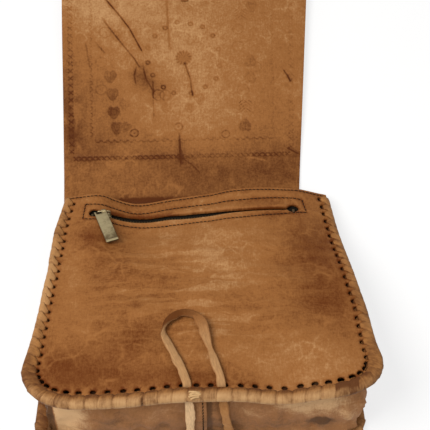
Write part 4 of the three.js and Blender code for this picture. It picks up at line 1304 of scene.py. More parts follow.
tape_cloth = woven_material(
    "tape_cloth", Warp=(0.008, 0.006, 0.004, 1), Weft=(0.03, 0.022, 0.015, 1), Threads=500.0
)
for name, node, side in (("upper_tape", "zip_tape_upper", 1), ("lower_tape", "zip_tape_lower", -1)):
    tape = along_zip(name, TAPE_SECTION, side)
    tape.data.materials.append(tape_cloth)
    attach(tape, "bag")
    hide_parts(node)

# Zip teeth and stops: small antiqued brass teeth clamped on the tapes' edges and meshed all along, with
# a square stop at each end.
TEETH_LEFT = -0.0885
TEETH_RIGHT = 0.0785
TOOTH_PITCH = 0.0024
TOOTH = (0.0007, 0.0011, 0.0012)
TOOTH_GAP = 0.0008
TOOTH_SUNK = -0.0026
STOP = (0.00125, 0.0022, 0.0016)
BLOCK_LEVELS = ((-1, 0.75), (-0.6, 1), (0.6, 1), (1, 0.75))
BOX_RING = ((-1, -0.6), (-0.6, -1), (0.6, -1), (1, -0.6), (1, 0.6), (0.6, 1), (-0.6, 1), (-1, 0.6))


def make_brass_group():
    """Antiqued brass: dark, scratched, and brighter in worn patches and where the Shine input paints a
    highlight; a negative Shine paints shade.
    """
    tree, given, result = group_tree(
        "antiqued_brass",
        [
            ("Place", "Vector", None), ("Shine", "Float", 0.0), ("Dullness", "Float", 0.45),
            ("Dark", "Color", (0.03, 0.02, 0.009, 1)), ("Bright", "Color", (0.12, 0.085, 0.04, 1)),
        ],
        [("Color", "Color"), ("Roughness", "Float")],
    )
    patina = noise(tree, given["Place"], 260.0, 5.0, 0.65)
    scratches = noise(tree, stretch(tree, given["Place"], (300.0, 2500.0, 2500.0)), 1.0, 3.0, 0.6)
    # worn here adds the painted Shine highlight to the scratches and patina.
    worn = maths(tree, "MULTIPLY_ADD", scratches, 0.5, maths(tree, "ADD", patina, given["Shine"]))
    colour = mix_colour(tree, ramp(tree, worn, 0.4, 1.05), given["Dark"], given["Bright"])
    tree.links.new(colour, result["Color"])
    tree.links.new(maths(tree, "MULTIPLY_ADD", patina, 0.25, given["Dullness"]), result["Roughness"])
    return tree


brass_group = make_brass_group()


def brass_material(name, **values):
    """Brass with the brass group's values; a shine mark on the mesh paints highlight and shade on it."""
    made, tree, shader = new_material(name)
    place = add_node(tree, "TexCoord").outputs["Object"]
    inputs = {"Place": place, "Shine": mark_value(tree, "shine"), **values}
    brass = add_node(tree, "Group", inputs, node_tree=brass_group).outputs
    tree.links.new(brass["Color"], shader.inputs["Base Color"])
    tree.links.new(brass["Roughness"], shader.inputs["Roughness"])
    shader.inputs["Metallic"].default_value = 0.85
    return made


def add_rings(points, faces, rings):
    """Joins rings of points into a closed skin with a cap at each end."""
    first = len(points)
    for ring in rings:
        points.extend(ring)
    join_rings(faces, first, len(rings[0]), len(rings))


def block_rings(middle, ways, half):
    """Rings of a small block with rounded corners and bevelled ends."""
    rings = []
    for level, share in BLOCK_LEVELS:
        end = middle + ways[2] * level * half[2]
        rings.append([end + share * (ways[0] * a * half[0] + ways[1] * b * half[1]) for a, b in BOX_RING])
    return rings


def zip_blocks(name, places, half, gap, lift):
    """Small brass blocks along the zip, each standing square on it."""
    points, faces = [], []
    for x in places:
        v = through(SLOT_MIDDLE, np.full(3, x)) + gap
        middle, ahead, over = on_front(np.array((x, x + MM, x)), v, np.array((lift, lift, lift + MM)))
        run = unit(ahead - middle)
        out = unit(over - middle)
        add_rings(points, faces, block_rings(middle, (run, np.cross(out, run), out), half))
    return add_piece(name, points, faces, np.array(points)[:, :2], None, 40)


teeth_x = np.arange(TEETH_LEFT, TEETH_RIGHT, TOOTH_PITCH)
# A darker copy of the brass for the teeth and the left stop: antiqued, and partly painted shade for their
# place down in the slot.
dark_brass = brass_material(
    "dark_brass", Dark=(0.03, 0.02, 0.009, 1), Bright=(0.12, 0.085, 0.04, 1), Dullness=0.45
)
# A brighter copy of the brass for the right stop: a painted glint in the slot's right eye.
glint_brass = brass_material(
    "glint_brass", Dark=(0.05, 0.03, 0.015, 1), Bright=(0.15, 0.095, 0.05, 1), Dullness=0.45
)
for name, node, places, half, gap, lift, metal in (
    ("upper_teeth", "zip_teeth_upper", teeth_x, TOOTH, TOOTH_GAP, TOOTH_SUNK, dark_brass),
    ("lower_teeth", "zip_teeth_lower", teeth_x + TOOTH_PITCH / 2, TOOTH, -TOOTH_GAP, TOOTH_SUNK, dark_brass),
    ("left_stop", "zip_stop_closed_end", (-0.091,), STOP, 0.0, TOOTH_SUNK, dark_brass),
    ("right_stop", "zip_stop_open_end", (0.0818,), STOP, 0.0, -0.0024, glint_brass),
):
    piece = zip_blocks(name, places, half, gap, lift)
    piece.data.materials.append(metal)
    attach(piece, "bag")
    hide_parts(node)

# Zip slider: two small brass plates joined by a neck, running on the teeth under the leather's lips.
# A wire bail stands on the upper plate and comes out through the slot.
SLIDER_X = -0.0822
SLIDER_V = -0.02
SLIDER_OUTLINE = (
    (-6.2, 2.3), (-5.4, 2.8), (-3.5, 3.3), (0, 3.4), (2.6, 3.1), (4.6, 2.5), (5.6, 2.0), (6, 1.4),
)
SLIDER_NECK = ((4.2, 0.6), (4.8, 1.1), (5.4, 0.6))
SLIDER_PLATES = (
    (SLIDER_OUTLINE, -0.0013, -0.0002, 0.0003), (SLIDER_OUTLINE, -0.0049, -0.0039, 0.0003),
    (SLIDER_NECK, -0.0045, -0.001, 0.0),
)
BAIL_ROUTE = (
    (-5.4, -0.5), (-5.4, 1.5), (-5.4, 3.2), (-5.1, 4.4), (-4.2, 4.95), (-3, 5), (0, 5), (3, 5),
    (4.2, 4.95), (5.1, 4.4), (5.4, 3.2), (5.4, 1.5), (5.4, -0.5),
)
BAIL_RADIUS = 0.00075


def on_plane(x, v, lift):
    """A place in the zip's own plane, without the panel's sag."""
    x, v, lift = (np.asarray(values, float)[:, None] for values in (x, v, lift))
    return FRONT_ORIGIN + x * ACROSS + v * FRONT_UP + lift * FRONT_OUT


def plate_points(outline, low, high, round_edge):
    """Rings of points for a plate with rounded edges, from its lower to its upper face."""
    x, half = np.array(outline, float).T
    ring_x = np.concatenate((x, x[::-1]))
    ring_v = np.concatenate((-half, half[::-1]))
    middle_x = ring_x.mean()
    rows = []
    levels = ((low, round_edge), (low + round_edge, 0), (high - round_edge, 0), (high, round_edge))
    for lift, pull_in in levels:
        shrink = 1 - pull_in / 4
        rows.append(((ring_x - middle_x) * shrink + middle_x, ring_v * shrink, np.full(len(ring_x), lift)))
    return rows


def tube_rings(route, radius, sides=10):
    """Rings of a round tube along a route of points."""
    run = unit(np.gradient(route, axis=0))
    side = np.cross(run[len(run) // 2], (0.3, 0.5, 0.8))
    turn = np.linspace(0, math.tau, sides, endpoint=False)[:, None]
    rings = []
    for place, way in zip(route, run):
        side = unit(side - way * (side @ way))
        rings.append(place + radius * (np.cos(turn) * side + np.sin(turn) * np.cross(way, side)))
    return rings


slider_points, slider_faces = [], []
for outline, low, high, round_edge in SLIDER_PLATES:
    rows = plate_points(np.array(outline) * MM, low, high, round_edge)
    rings = [on_plane(SLIDER_X + x, SLIDER_V + v, lift) for x, v, lift in rows]
    add_rings(slider_points, slider_faces, rings)
bail = np.array(BAIL_ROUTE) * MM
bail_line = smooth_rows(on_plane(SLIDER_X + bail[:, 0], np.full(len(bail), SLIDER_V), bail[:, 1]), 40)
add_rings(slider_points, slider_faces, tube_rings(bail_line, BAIL_RADIUS))
slider_flat = np.array(slider_points)[:, :2]
zip_slider = add_piece("slider_brass", slider_points, slider_faces, slider_flat, None, 40)
pull_brass = brass_material(
    "pull_brass", Dark=(0.11, 0.075, 0.034, 1), Bright=(0.34, 0.275, 0.15, 1), Dullness=0.27
)
zip_slider.data.materials.append(pull_brass)
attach(zip_slider, "slider")
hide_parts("zip_slider")

# Zip pull: a flat cast brass tab with bevelled edges and a thick lip at its end, swinging on the bail by
# a rolled knuckle.
PULL_YAW = math.radians(19)
PULL_SHIFT = -3.2
PULL_HINGE = 0.005
PULL_TILT = math.asin(-0.2 / 41.5)
# Rows of the tab: distance down it, left and right edge and half thickness in mm, and shine, a painted
# highlight and shade: darker on the band above the end lip, with a highlight on the lip.
PULL_ROWS = (
    (-0.9, -5.2, -3.9, 0.6, 0.0), (1.6, -5.2, -3.6, 0.7, 0.0), (2.3, -5.2, -2.8, 0.7, 0.0),
    (2.6, -5.2, 5.5, 0.7, 0.0), (3.4, -5.2, 5.6, 0.72, 0.05), (10, -5.2, 5.7, 0.7, 0.06),
    (18, -5.2, 5.7, 0.7, 0.1), (26, -5.2, 5.7, 0.7, -0.1), (32.2, -5.2, 5.7, 0.7, -0.35),
    (33.3, -5.2, 5.7, 0.75, -0.3), (33.8, -5.2, 5.7, 1.0, 0.4), (35.0, -5.2, 5.7, 1.0, 0.5),
    (35.6, -4.9, 5.4, 0.7, -0.1),
)
KNUCKLE = ((-1.9, 1.7), (-1.7, 1.85), (1.7, 1.85), (1.9, 1.7), (1.9, 1.05), (-1.9, 1.05))
KNUCKLE_SIDES = 20
PULL_NECK = ((1.1, 1.9, 0.5), (2.0, 2.0, 0.6), (3.2, 2.2, 0.6))
PULL_SECTION = ((-1, -0.25), (-0.9, -1), (0.9, -1), (1, -0.25), (1, 0.25), (0.9, 1), (-0.9, 1), (-1, 0.25))

hinge = on_plane((SLIDER_X,), (SLIDER_V,), (PULL_HINGE,))[0]
down_way = -FRONT_UP * math.cos(PULL_TILT) - FRONT_OUT * math.sin(PULL_TILT)
rise_way = np.cross(ACROSS, -down_way)
pull_way = down_way * math.cos(PULL_YAW) + ACROSS * math.sin(PULL_YAW)
pull_side = ACROSS * math.cos(PULL_YAW) - down_way * math.sin(PULL_YAW)
pull_points, pull_faces, pull_painted_shine = [], [], []
plate_rings = []
for run, left, right, thick, shine in PULL_ROWS:
    ring = []
    for a, b in PULL_SECTION:
        across = PULL_SHIFT + (left + right) / 2 + a * (right - left) / 2
        ring.append(hinge + MM * (pull_way * run + pull_side * across + rise_way * thick * b))
        # Painted shade on the tab's side edges and a painted highlight on its left bevel.
        pull_painted_shine.append(shine - 0.4 * (abs(a) > 0.95) + 0.2 * (a == -0.9))
    plate_rings.append(np.array(ring))
add_rings(pull_points, pull_faces, plate_rings)
neck_rings = []
for run, half, thick in PULL_NECK:
    neck_rings.append([
        hinge + MM * (pull_way * run + ACROSS * half * a + rise_way * thick * b) for a, b in PULL_SECTION
    ])
add_rings(pull_points, pull_faces, neck_rings)
first = len(pull_points)
for reach, radius in KNUCKLE:
    for angle in np.linspace(0, math.tau, KNUCKLE_SIDES, endpoint=False):
        around = math.cos(angle) * down_way + math.sin(angle) * rise_way
        pull_points.append(hinge + MM * (ACROSS * reach + radius * around))
join_rings(pull_faces, first, KNUCKLE_SIDES, len(KNUCKLE), ends="joined")
pull_painted_shine += [0.0] * (len(pull_points) - len(pull_painted_shine))
pull_flat = np.array(pull_points)[:, :2]
zip_pull = add_piece("pull_tab", pull_points, pull_faces, pull_flat, {"shine": pull_painted_shine}, 30)
zip_pull.data.materials.append(pull_brass)
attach(zip_pull, "pull")
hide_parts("zip_pull")

# Pocket lining: the brown cloth of the zip's pocket, sewn in along the upper stitch row and hanging
# inside the bag behind the front panel.
LINING_LEFT = -0.0935
LINING_RIGHT = 0.0855
LINING_TOP = -0.0085
LINING_LENGTH = 0.118
LINING_CLOTH = 0.0006
LINING_GRID = (44, 60)


def behind_front(x, v):
    """A place on the lining, which hangs free of the panel below the zip."""
    sink = 0.0012 + 0.0046 * between(LINING_TOP + 0.001, LINING_TOP - 0.008, v)
    sink = sink + 0.0006 * between(-0.03, -0.06, v) * (1 + ripple(x, v, 0.045, 101))
    return on_front(x, v, -sink)


lining_x, lining_v = np.meshgrid(
    np.linspace(LINING_LEFT, LINING_RIGHT, LINING_GRID[1]),
    np.linspace(LINING_TOP, LINING_TOP - LINING_LENGTH, LINING_GRID[0]),
)
lining_flat = np.column_stack((lining_x.ravel(), lining_v.ravel()))
pocket_lining = leather_piece("pocket_cloth", lining_flat, grid_triangles(*LINING_GRID),
                              behind_front(*lining_flat.T), LINING_CLOTH)
lining_weave = woven_material(
    "lining_cloth", Warp=(0.035, 0.02, 0.011, 1), Weft=(0.06, 0.036, 0.02, 1), Threads=400.0
)
pocket_lining.data.materials.append(lining_weave)
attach(pocket_lining, "bag")
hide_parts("pocket_lining")

# Stitching: waxed near-black thread in long stitches along the mouth's hem, round the zip and down the
# gusset's lap. Each stitch dips into the leather at both ends.
STITCH = 0.0029
STITCH_GAP = 0.0005
STITCH_AHEAD = 0.0002
STITCH_SUNK = 0.00025
ROUTE_STEP = 0.0012
THREAD_RADIUS = 0.00042
KNOT_X = -0.0285
SEAM_X = -0.0011
SEAM_HEIGHTS = (0.009, 0.0735)
STITCH_PROFILE = (
    (0.0, -0.00045, 0.55), (0.12, 0.0, 0.95), (0.32, 0.0002, 1.0), (0.68, 0.0002, 1.0), (0.88, 0.0, 0.95),
    (1.0, -0.00045, 0.55),
)


def point_at(line, along, at):
    """The place on a line of points at a distance along it."""
    return np.array([np.interp(at, along, column) for column in np.asarray(line).T])


def sew(points, faces, line, out, rng):
    """Adds a row of stitches along a line of points with the way out of the leather at each."""
    along = distances(line)
    turn = np.linspace(0, math.tau, 8, endpoint=False)[:, None]
    start = rng.uniform(0, STITCH_GAP)
    while start + STITCH * 0.6 < along[-1]:
        size = min(STITCH * rng.uniform(0.9, 1.1), along[-1] - start)
        slant = rng.uniform(0.00015, 0.0004)
        rings = []
        for share, height, thick in STITCH_PROFILE:
            at = start + share * size
            next_at = at + STITCH_AHEAD
            place = point_at(line, along, at)
            way = point_at(line, along, next_at) - place if next_at < along[-1] else line[-1] - line[-2]
            way = unit(way)
            side = unit(np.cross(way, point_at(out, along, at)))
            up = np.cross(side, way)
            place = place + up * height + side * slant * (share - 0.5) * 2
            rings.append(place + THREAD_RADIUS * thick * (np.cos(turn) * side - np.sin(turn) * up))
        add_rings(points, faces, rings)
        start += size + STITCH_GAP * rng.uniform(0.7, 1.3)


def sew_front(name, routes, seed):
    """Rows of stitches on the front panel along flat routes."""
    rng = np.random.default_rng(seed)
    points, faces = [], []
    for route in routes:
        along = distances(route)
        even = np.linspace(0, along[-1], max(4, int(along[-1] / ROUTE_STEP)))
        flat = point_at(route, along, even)
        line = on_front(*flat, LEATHER - STITCH_SUNK)
        sew(points, faces, line, unit(on_front(*flat, LEATHER + MM) - line), rng)
    return add_piece(name, points, faces, np.array(points)[:, :2], None, 60)


knot = through(FRAME_FOOT, KNOT_X) + np.array((0.0011, -0.0011))
frame_routes = (
    frame_top, frame_line[FRAME_STEPS - 1:FRAME_STEPS + 1], frame_foot, frame_line[-2:],
    np.column_stack(((KNOT_X, KNOT_X + 0.0005), knot)),
    np.column_stack(((KNOT_X + 0.0006, KNOT_X - 0.0002), knot)),
)
hem_thread = sew_front("hem_stitches", [hem_line], 111)
frame_thread = sew_front("zip_frame_stitches", frame_routes, 112)
seam_column = int(np.argmin(np.abs(left_face[SECTION_STEPS // 2, :, 0] - SEAM_X)))
seam_line = left_face[:, seam_column]
seam_next = left_face[:, seam_column - 1]
seam_out = unit(np.cross(np.gradient(seam_line, axis=0), seam_line - seam_next))
seam_out *= np.where(seam_out[:, 1] > 0, -1, 1)[:, None]
seam_rows = (seam_line[:, 2] > SEAM_HEIGHTS[0]) & (seam_line[:, 2] < SEAM_HEIGHTS[1])
seam_points, seam_faces = [], []
sew(seam_points, seam_faces, seam_line[seam_rows] + 0.0002 * ACROSS, seam_out[seam_rows],
    np.random.default_rng(113))
gusset_thread = add_piece("gusset_stitches", seam_points, seam_faces, np.array(seam_points)[:, :2], None, 60)

dark_thread, thread_tree, thread_shader = new_material("dark_thread")
thread_place = add_node(thread_tree, "TexCoord").outputs["Object"]
thread_twist = noise(thread_tree, thread_place, 2600.0, 2.0, 0.5)
thread_colour = mix_colour(thread_tree, thread_twist, (0.008, 0.004, 0.002, 1), (0.03, 0.014, 0.006, 1))
thread_tree.links.new(thread_colour, thread_shader.inputs["Base Color"])
thread_shader.inputs["Roughness"].default_value = 0.75
thread_shader.inputs["Specular IOR Level"].default_value = 0.1
for piece, node in (
    (hem_thread, "hem_thread"), (frame_thread, "zip_frame_thread"), (gusset_thread, "gusset_thread")
):
    piece.data.materials.append(dark_thread)
    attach(piece, "bag")
    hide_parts(node)

# Flap: the back's leather run on past the mouth and thrown open on the floor, so that its tooled
# inner face shows. Rings, hearts, a sun and borders are pressed in with hand stamps, and it is creased.
FLAP_END = 0.263
FLAP_ROOT_HALF = 0.1037
FLAP_END_HALF = 0.1192
FLAP_ROOT_X = -0.0155
FLAP_END_X = -0.0076
FLAP_CORNER = 0.024
FLAP_MESH = 0.0042
TOGGLE_REACH = 0.21
TOGGLE_X = -0.0087
TOGGLE_RADIUS = 0.00425
TOGGLE_SLIT = 0.00375
TOGGLE_SLIT_HALF = (0.0034, 0.0007)
STAMP_DEPTH = 0.0008
CREASE_DEPTH = 0.0006
STAMP_MESH = 0.0006
ROW_MESH = 0.0008
CREASE_GAP = 0.0021
CREASE_MESH = (-0.0018, -0.0012, -0.0006, 0, 0.0006, 0.0012, 0.0018)
FLAP_TILT = 0.0083
FLAP_WAVE = 0.0008
TOGGLE_BUMP = 0.0004
SUN = (-10.9, 145.6)
SUN_RAYS = 14
DOTS = (
    (-43.9, 156.2, 0.4), (-44, 140.7, 0.75), (-39.7, 127.9, 0.7), (-30.1, 115.8, 0.75), (-20.7, 109.9, 0.6),
    (-4.6, 108.9, 0.75), (8.3, 114.8, 0.6), (18.6, 122.5, 0.55), (22.3, 135.4, 0.4), (21.6, 152.9, 0.4),
    (16.8, 167.8, 0.6), (7.4, 177.9, 0.7), (-3.8, 181.3, 0.55), (-16.4, 183.1, 0.55), (-27.5, 177.1, 0.7),
    (-37.3, 168.4, 0.6),
)
HEARTS = (
    (-73.4, 172.1, 7, 180, 0.35), (-78.8, 128.4, 7.5, 180, 0.55), (-76.9, 110.6, 7, 180, 0.65),
    (-75.6, 92, 7, 180, 0.6), (-72.9, 76.4, 6.8, 180, 0.55), (50.8, 138.2, 7, 0, 0.5),
    (50.1, 121.7, 7, 0, 0.4), (43.6, 73.8, 7, 0, 0.7), (-76, 205, 7, 0, 0.4), (-74, 224, 7, 0, 0.4),
    (54.6, 199.5, 6.8, 180, 0.4), (45, 218, 6.8, 180, 0.35), (-64.1, 76.9, 5.6, 150, 0.45),
    (2.2, 103.9, 6.2, 200, 0.35), (-27.3, 96, 5.6, 160, 0.35), (-65.4, 100, 6.2, 170, 0.3),
    (-6.9, 95.4, 5.6, 185, 0.3),
)
CHEVRONS = ((44.7, 93.9, 6.5, 0.7), (44, 190, 6.5, 0.4))
SMALL_RINGS = (
    (-57.1, 70.1, 3.6, 0.9), (-16.9, 75.5, 3.6, 0.7), (25.7, 66.5, 3.6, 0.7), (-12, 226, 3.6, 0.6),
    (-87.4, 142.1, 5.2, 0.35), (-73.2, 140.2, 5.2, 0.3), (-83.8, 174, 5.6, 0.35),
    (-34.8, 107.9, 5.2, 0.5), (-28.4, 107.7, 5.0, 0.45), (-87.2, 113.9, 5.0, 0.35),
    (39.8, 155.1, 5.2, 0.35), (55.8, 133.5, 5.0, 0.35), (43.2, 110.1, 5.2, 0.3), (40.4, 173.5, 5.0, 0.3),
)
CROSS_ROWS = (
    (-112, 45.5, -12, 45.5, 5.0, 0.6), (-12, 45.5, 48, 45.5, 5.0, 0.36), (48, 45.5, 83, 45.5, 5.0, 0.5),
    (-113.5, 49, -119, 250, 7.4, 0.55), (84, 49, 94, 250, 7.4, 0.28), (-116, 253, 94, 253, 5.0, 0.7),
)
ARC_ROWS = (
    (-93, 62.5, 67, 62.5, 6.0, 0.45), (-96, 66, -99, 234, 6.5, 0.4), (68, 66, 74, 234, 6.5, 0.22),
    (-97, 237, 73, 237, 6.0, 0.6),
)
FLAP_CREASES = (
    (((-91, 222), (-86, 214.6), (-73.5, 196.9), (-61.6, 178), (-49.9, 153.1)), 1.0),
    (((-83.9, 184.8), (-70.7, 164.4), (-56.4, 144.2), (-52, 136)), 0.7),
    (((-92.8, 163.5), (-84.9, 152.6)), 0.5),
    (((-26, 222), (-25.8, 212.9), (-25.3, 189.3), (-23.9, 156.9)), 0.4),
    (((-9.9, 139.9), (-7.4, 131), (-5.1, 123.3), (-4.6, 114), (-3.6, 107)), 0.7),
    (((-16.3, 65.5), (-15.5, 40.1)), 0.65), (((-13.5, 43.2), (-6, 37.5), (1.4, 28.7)), 0.22),
    (((81.7, 128.9), (84.5, 124), (86.7, 118.1)), 0.7), (((82.1, 50.5), (90, 45.2)), 0.45),
    (((-101.9, 162.2), (-98.2, 137.9)), 0.4), (((-39.8, 121.4), (-39.3, 86.2)), 0.4),
    (((-55.2, 135.2), (-57, 127), (-55.4, 118.9)), 0.45),
    (((-48.7, 136.5), (-46, 124), (-39.9, 112.5)), 0.4),
)


def on_flap(x, r, rise=0.0):
    """A place on the flap: x, distance past the mouth line, and rise above its under face."""
    x = np.asarray(x, float)
    r = np.asarray(r, float)
    tilt = FLAP_TILT * between(0.03, 0.2, r)
    root = BACK_LIFT * between(*LIFT_REACH, MOUTH_HALF - np.abs(x - BACK_SHIFT)) * between(0.03, 0.0, r)
    bump = np.exp(-(((x - TOGGLE_X) / 0.024) ** 2) - ((r - TOGGLE_REACH) / 0.016) ** 2)
    wave = FLAP_WAVE * between(0.02, 0.08, r) * (1 + (1 - bump) * ripple(x, r, 0.11, 81))
    height = FLOOR_GAP + root + tilt + wave + TOGGLE_BUMP * bump + rise
    return np.column_stack((x, MOUTH_Y + r, height + np.zeros_like(x)))


def flap_edge(count, corner_count):
    """The flap's cut outline: straight sides that spread a little, and round end corners."""
    left_root = np.array((FLAP_ROOT_X - FLAP_ROOT_HALF, 0.0))
    right_root = np.array((FLAP_ROOT_X + FLAP_ROOT_HALF, 0.0))
    left_tip = np.array((FLAP_END_X - FLAP_END_HALF, FLAP_END))
    right_tip = np.array((FLAP_END_X + FLAP_END_HALF, FLAP_END))
    left_side = left_tip - unit(left_tip - left_root) * FLAP_CORNER
    right_side = right_tip - unit(right_tip - right_root) * FLAP_CORNER
    left_end = left_tip + (FLAP_CORNER, 0)
    right_end = right_tip - (FLAP_CORNER, 0)
    return np.vstack((
        np.linspace(left_root, right_root, count)[:-1],
        np.linspace(right_root, right_side, count)[:-1],
        bezier(right_side, right_tip, right_end, corner_count)[:-1],
        np.linspace(right_end, left_end, count)[:-1],
        bezier(left_end, left_tip, left_side, corner_count)[:-1],
        np.linspace(left_side, left_root, count)[:-1],
    ))


def local(x, r, middle, turn=0.0):
    """Places measured from a stamp's middle in mm, turned with the stamp."""
    angle = math.radians(turn)
    u = x * 1000 - middle[0]
    w = r * 1000 - middle[1]
    return u * math.cos(angle) + w * math.sin(angle), w * math.cos(angle) - u * math.sin(angle)


def line_mark(gap, width):
    """1 on a pressed line and fading off it within about its width."""
    return np.exp(-((gap / width) ** 2))


def stamped_row(x, r, row, arcs):
    """A straight row of small stamps: crosses, or arcs standing on the row."""
    x0, r0, x1, r1, pitch, amount = row
    length = math.hypot(x1 - x0, r1 - r0)
    run = np.array(((x1 - x0) / length, (r1 - r0) / length))
    u = (x * 1000 - x0) * run[0] + (r * 1000 - r0) * run[1]
    w = (r * 1000 - r0) * run[0] - (x * 1000 - x0) * run[1]
    near = between(-0.5, 0.5, u) * between(length + 0.5, length - 0.5, u)
    u = np.mod(u, pitch) - pitch / 2
    if arcs:
        shape = line_mark(np.hypot(u, w - 1.0) - 2.3, 0.5) * between(1.4, 0.6, w)
    else:
        shape = line_mark(np.abs(u) - np.abs(w) * 0.95, 0.75) * between(2.6, 2.0, np.abs(w))
        shape = np.maximum(shape, 0.8 * line_mark(np.hypot(u, w), 0.8))
    return amount * near * shape


def stamps(x, r):
    """How deep the hand stamps have gone in, about 0 to 1."""
    total = np.zeros_like(x)
    for middle_x, middle_r, amount in DOTS:
        u, w = local(x, r, (middle_x, middle_r))
        gap = np.hypot(u, w)
        total = np.maximum(total, amount * (line_mark(gap - 1.9, 0.7) + 0.35 * between(2.0, 1.4, gap)))
    u, w = local(x, r, SUN)
    gap = np.hypot(u, w)
    ray = np.cos(SUN_RAYS * np.arctan2(u, w))
    disc = between(8.2, 6.4, gap * (1 - 0.06 * ray))
    total = np.maximum(total, disc * (0.56 + 0.2 * ray * between(1.5, 5.0, gap)))
    for middle_x, middle_r, size, turn, amount in HEARTS:
        u, w = local(x, r, (middle_x, middle_r), turn)
        gap = np.hypot(u, w)
        angle = np.abs(np.arctan2(u, w))
        edge = size * (0.72 + 0.34 * line_mark(angle, 0.5) - 0.3 * line_mark(angle - math.pi, 0.4))
        shape = 0.75 * line_mark(gap - edge, 0.8) + 0.4 * line_mark(gap - 0.55 * edge, 0.6)
        shape += 0.3 * line_mark(u, 0.5) * (gap < 0.5 * edge) + 0.55 * between(1.04, 0.8, gap / edge)
        total = np.maximum(total, amount * shape)
    for middle_x, middle_r, size, amount in CHEVRONS:
        u, w = local(x, r, (middle_x, middle_r))
        inside = between(size, size * 0.85, np.abs(u)) * between(size, size * 0.85, np.abs(w))
        total = np.maximum(total, amount * inside * line_mark(np.mod(w + 0.8 * np.abs(u), 3.2) - 1.6, 0.55))
    for middle_x, middle_r, size, amount in SMALL_RINGS:
        u, w = local(x, r, (middle_x, middle_r))
        gap = np.hypot(u, w)
        total = np.maximum(total, amount * (line_mark(gap - size, 0.55) + 0.7 * line_mark(gap, 0.9)))
    for rows, arcs in ((CROSS_ROWS, False), (ARC_ROWS, True)):
        for row in rows:
            total = np.maximum(total, stamped_row(x, r, row, arcs))
    return total * (0.85 + 0.15 * ripple(x, r, 0.03, 83))


def disc_points(middle_x, middle_r, reach, step):
    """A round patch of mesh points; its middle is in mm."""
    middle_x = middle_x / 1000
    middle_r = middle_r / 1000
    rings = [np.array(((middle_x, middle_r),))]
    for radius in np.arange(step, reach, step):
        turn = np.linspace(0, math.tau, max(6, int(math.tau * radius / step)), endpoint=False)
        rings.append(np.column_stack((middle_x + radius * np.cos(turn), middle_r + radius * np.sin(turn))))
    return np.vstack(rings)


# Finer mesh along the flap's root, for the painted shade there by the mouth.
mouth_shade_line = ((-0.08, 0.0045), (0.01, 0.0045))
mouth_shade_rows = np.arange(-0.003, 0.0031, 0.0012)
flap_extra = [disc_points(*SUN, 0.0085, 0.0007), beside(mouth_shade_line, 0.002, mouth_shade_rows)]
for middle_x, middle_r, _ in DOTS:
    flap_extra.append(disc_points(middle_x, middle_r, 0.0036, STAMP_MESH))
for middle_x, middle_r, size, *_ in HEARTS + CHEVRONS + SMALL_RINGS:
    flap_extra.append(disc_points(middle_x, middle_r, size * 0.0011 + 0.0012, ROW_MESH))
for row in CROSS_ROWS + ARC_ROWS:
    ends = np.reshape(row[:4], (2, 2)) / 1000
    flap_extra.append(beside(ends, ROW_MESH, np.arange(-0.0028, 0.0029, ROW_MESH)))
flap_extra = np.round(np.vstack(flap_extra) / STAMP_MESH).astype(int)
flap_extra = np.unique(flap_extra, axis=0) * STAMP_MESH
for route, _ in FLAP_CREASES:
    route = np.array(route) / 1000
    flap_extra = flap_extra[line_gap(flap_extra, route) > CREASE_GAP]
    flap_extra = np.vstack((flap_extra, beside(route, ROW_MESH, CREASE_MESH)))
flap_slits = [
    oval((TOGGLE_X, TOGGLE_REACH + side * TOGGLE_SLIT), (1, 0), *TOGGLE_SLIT_HALF, 18) for side in (-1, 1)
]
flap_outline = flap_edge(60, 12)
flap_flat, flap_triangles = cut_pattern(flap_outline, flap_slits, FLAP_MESH, flap_extra, seed=5)
flap_x, flap_r = flap_flat.T
pressed = stamps(flap_x, flap_r)
ragged = 0.88 + 0.12 * ripple(flap_x, flap_r, 0.015, 85)
creased = np.zeros_like(flap_x)
for route, amount in FLAP_CREASES:
    gap = line_gap(flap_flat, np.array(route) / 1000)
    creased = np.maximum(creased, amount * ragged * line_mark(gap, 0.0009))
    creased = np.maximum(creased, 0.2 * amount * line_mark(gap, 0.0024))
# Lighter and darker patches over the flap's tone, darker along its root by the mouth.
FLAP_TONE_PATCHES = (
    (-12, 160, 50, 60, 0.17), (0, 90, 35, 30, 0.1), (-85, 205, 40, 30, 0.28), (-122, 120, 14, 70, -0.16),
    (-20, 12, 160, 30, -0.22), (30, 225, 50, 20, 0.1), (-49, 125.2, 11, 13, -0.35),
    (-34, 112, 12, 12, -0.2), (85, 30, 30, 30, -0.1), (-112, 66, 6, 12, -0.16), (-16, 50, 3, 10, -0.1),
    (-30, 45.5, 50, 4, -0.06), (-100, 45.5, 20, 4, -0.06), (92, 60, 8, 20, -0.1),
    (-104, 88, 22, 35, -0.12), (-79, 62, 18, 14, -0.14), (28, 28, 60, 12, -0.08),
    (-76, 90, 10, 20, -0.12), (-83, 124, 20, 14, -0.08), (-114, 90, 26, 50, -0.11),
    (-100, 55, 30, 20, -0.1), (20, 42, 80, 20, -0.12), (68, 62, 26, 30, -0.12), (-35, 52, 30, 20, -0.1),
    (66, 120, 20, 30, -0.08), (-50, 85, 16, 20, -0.06),
)
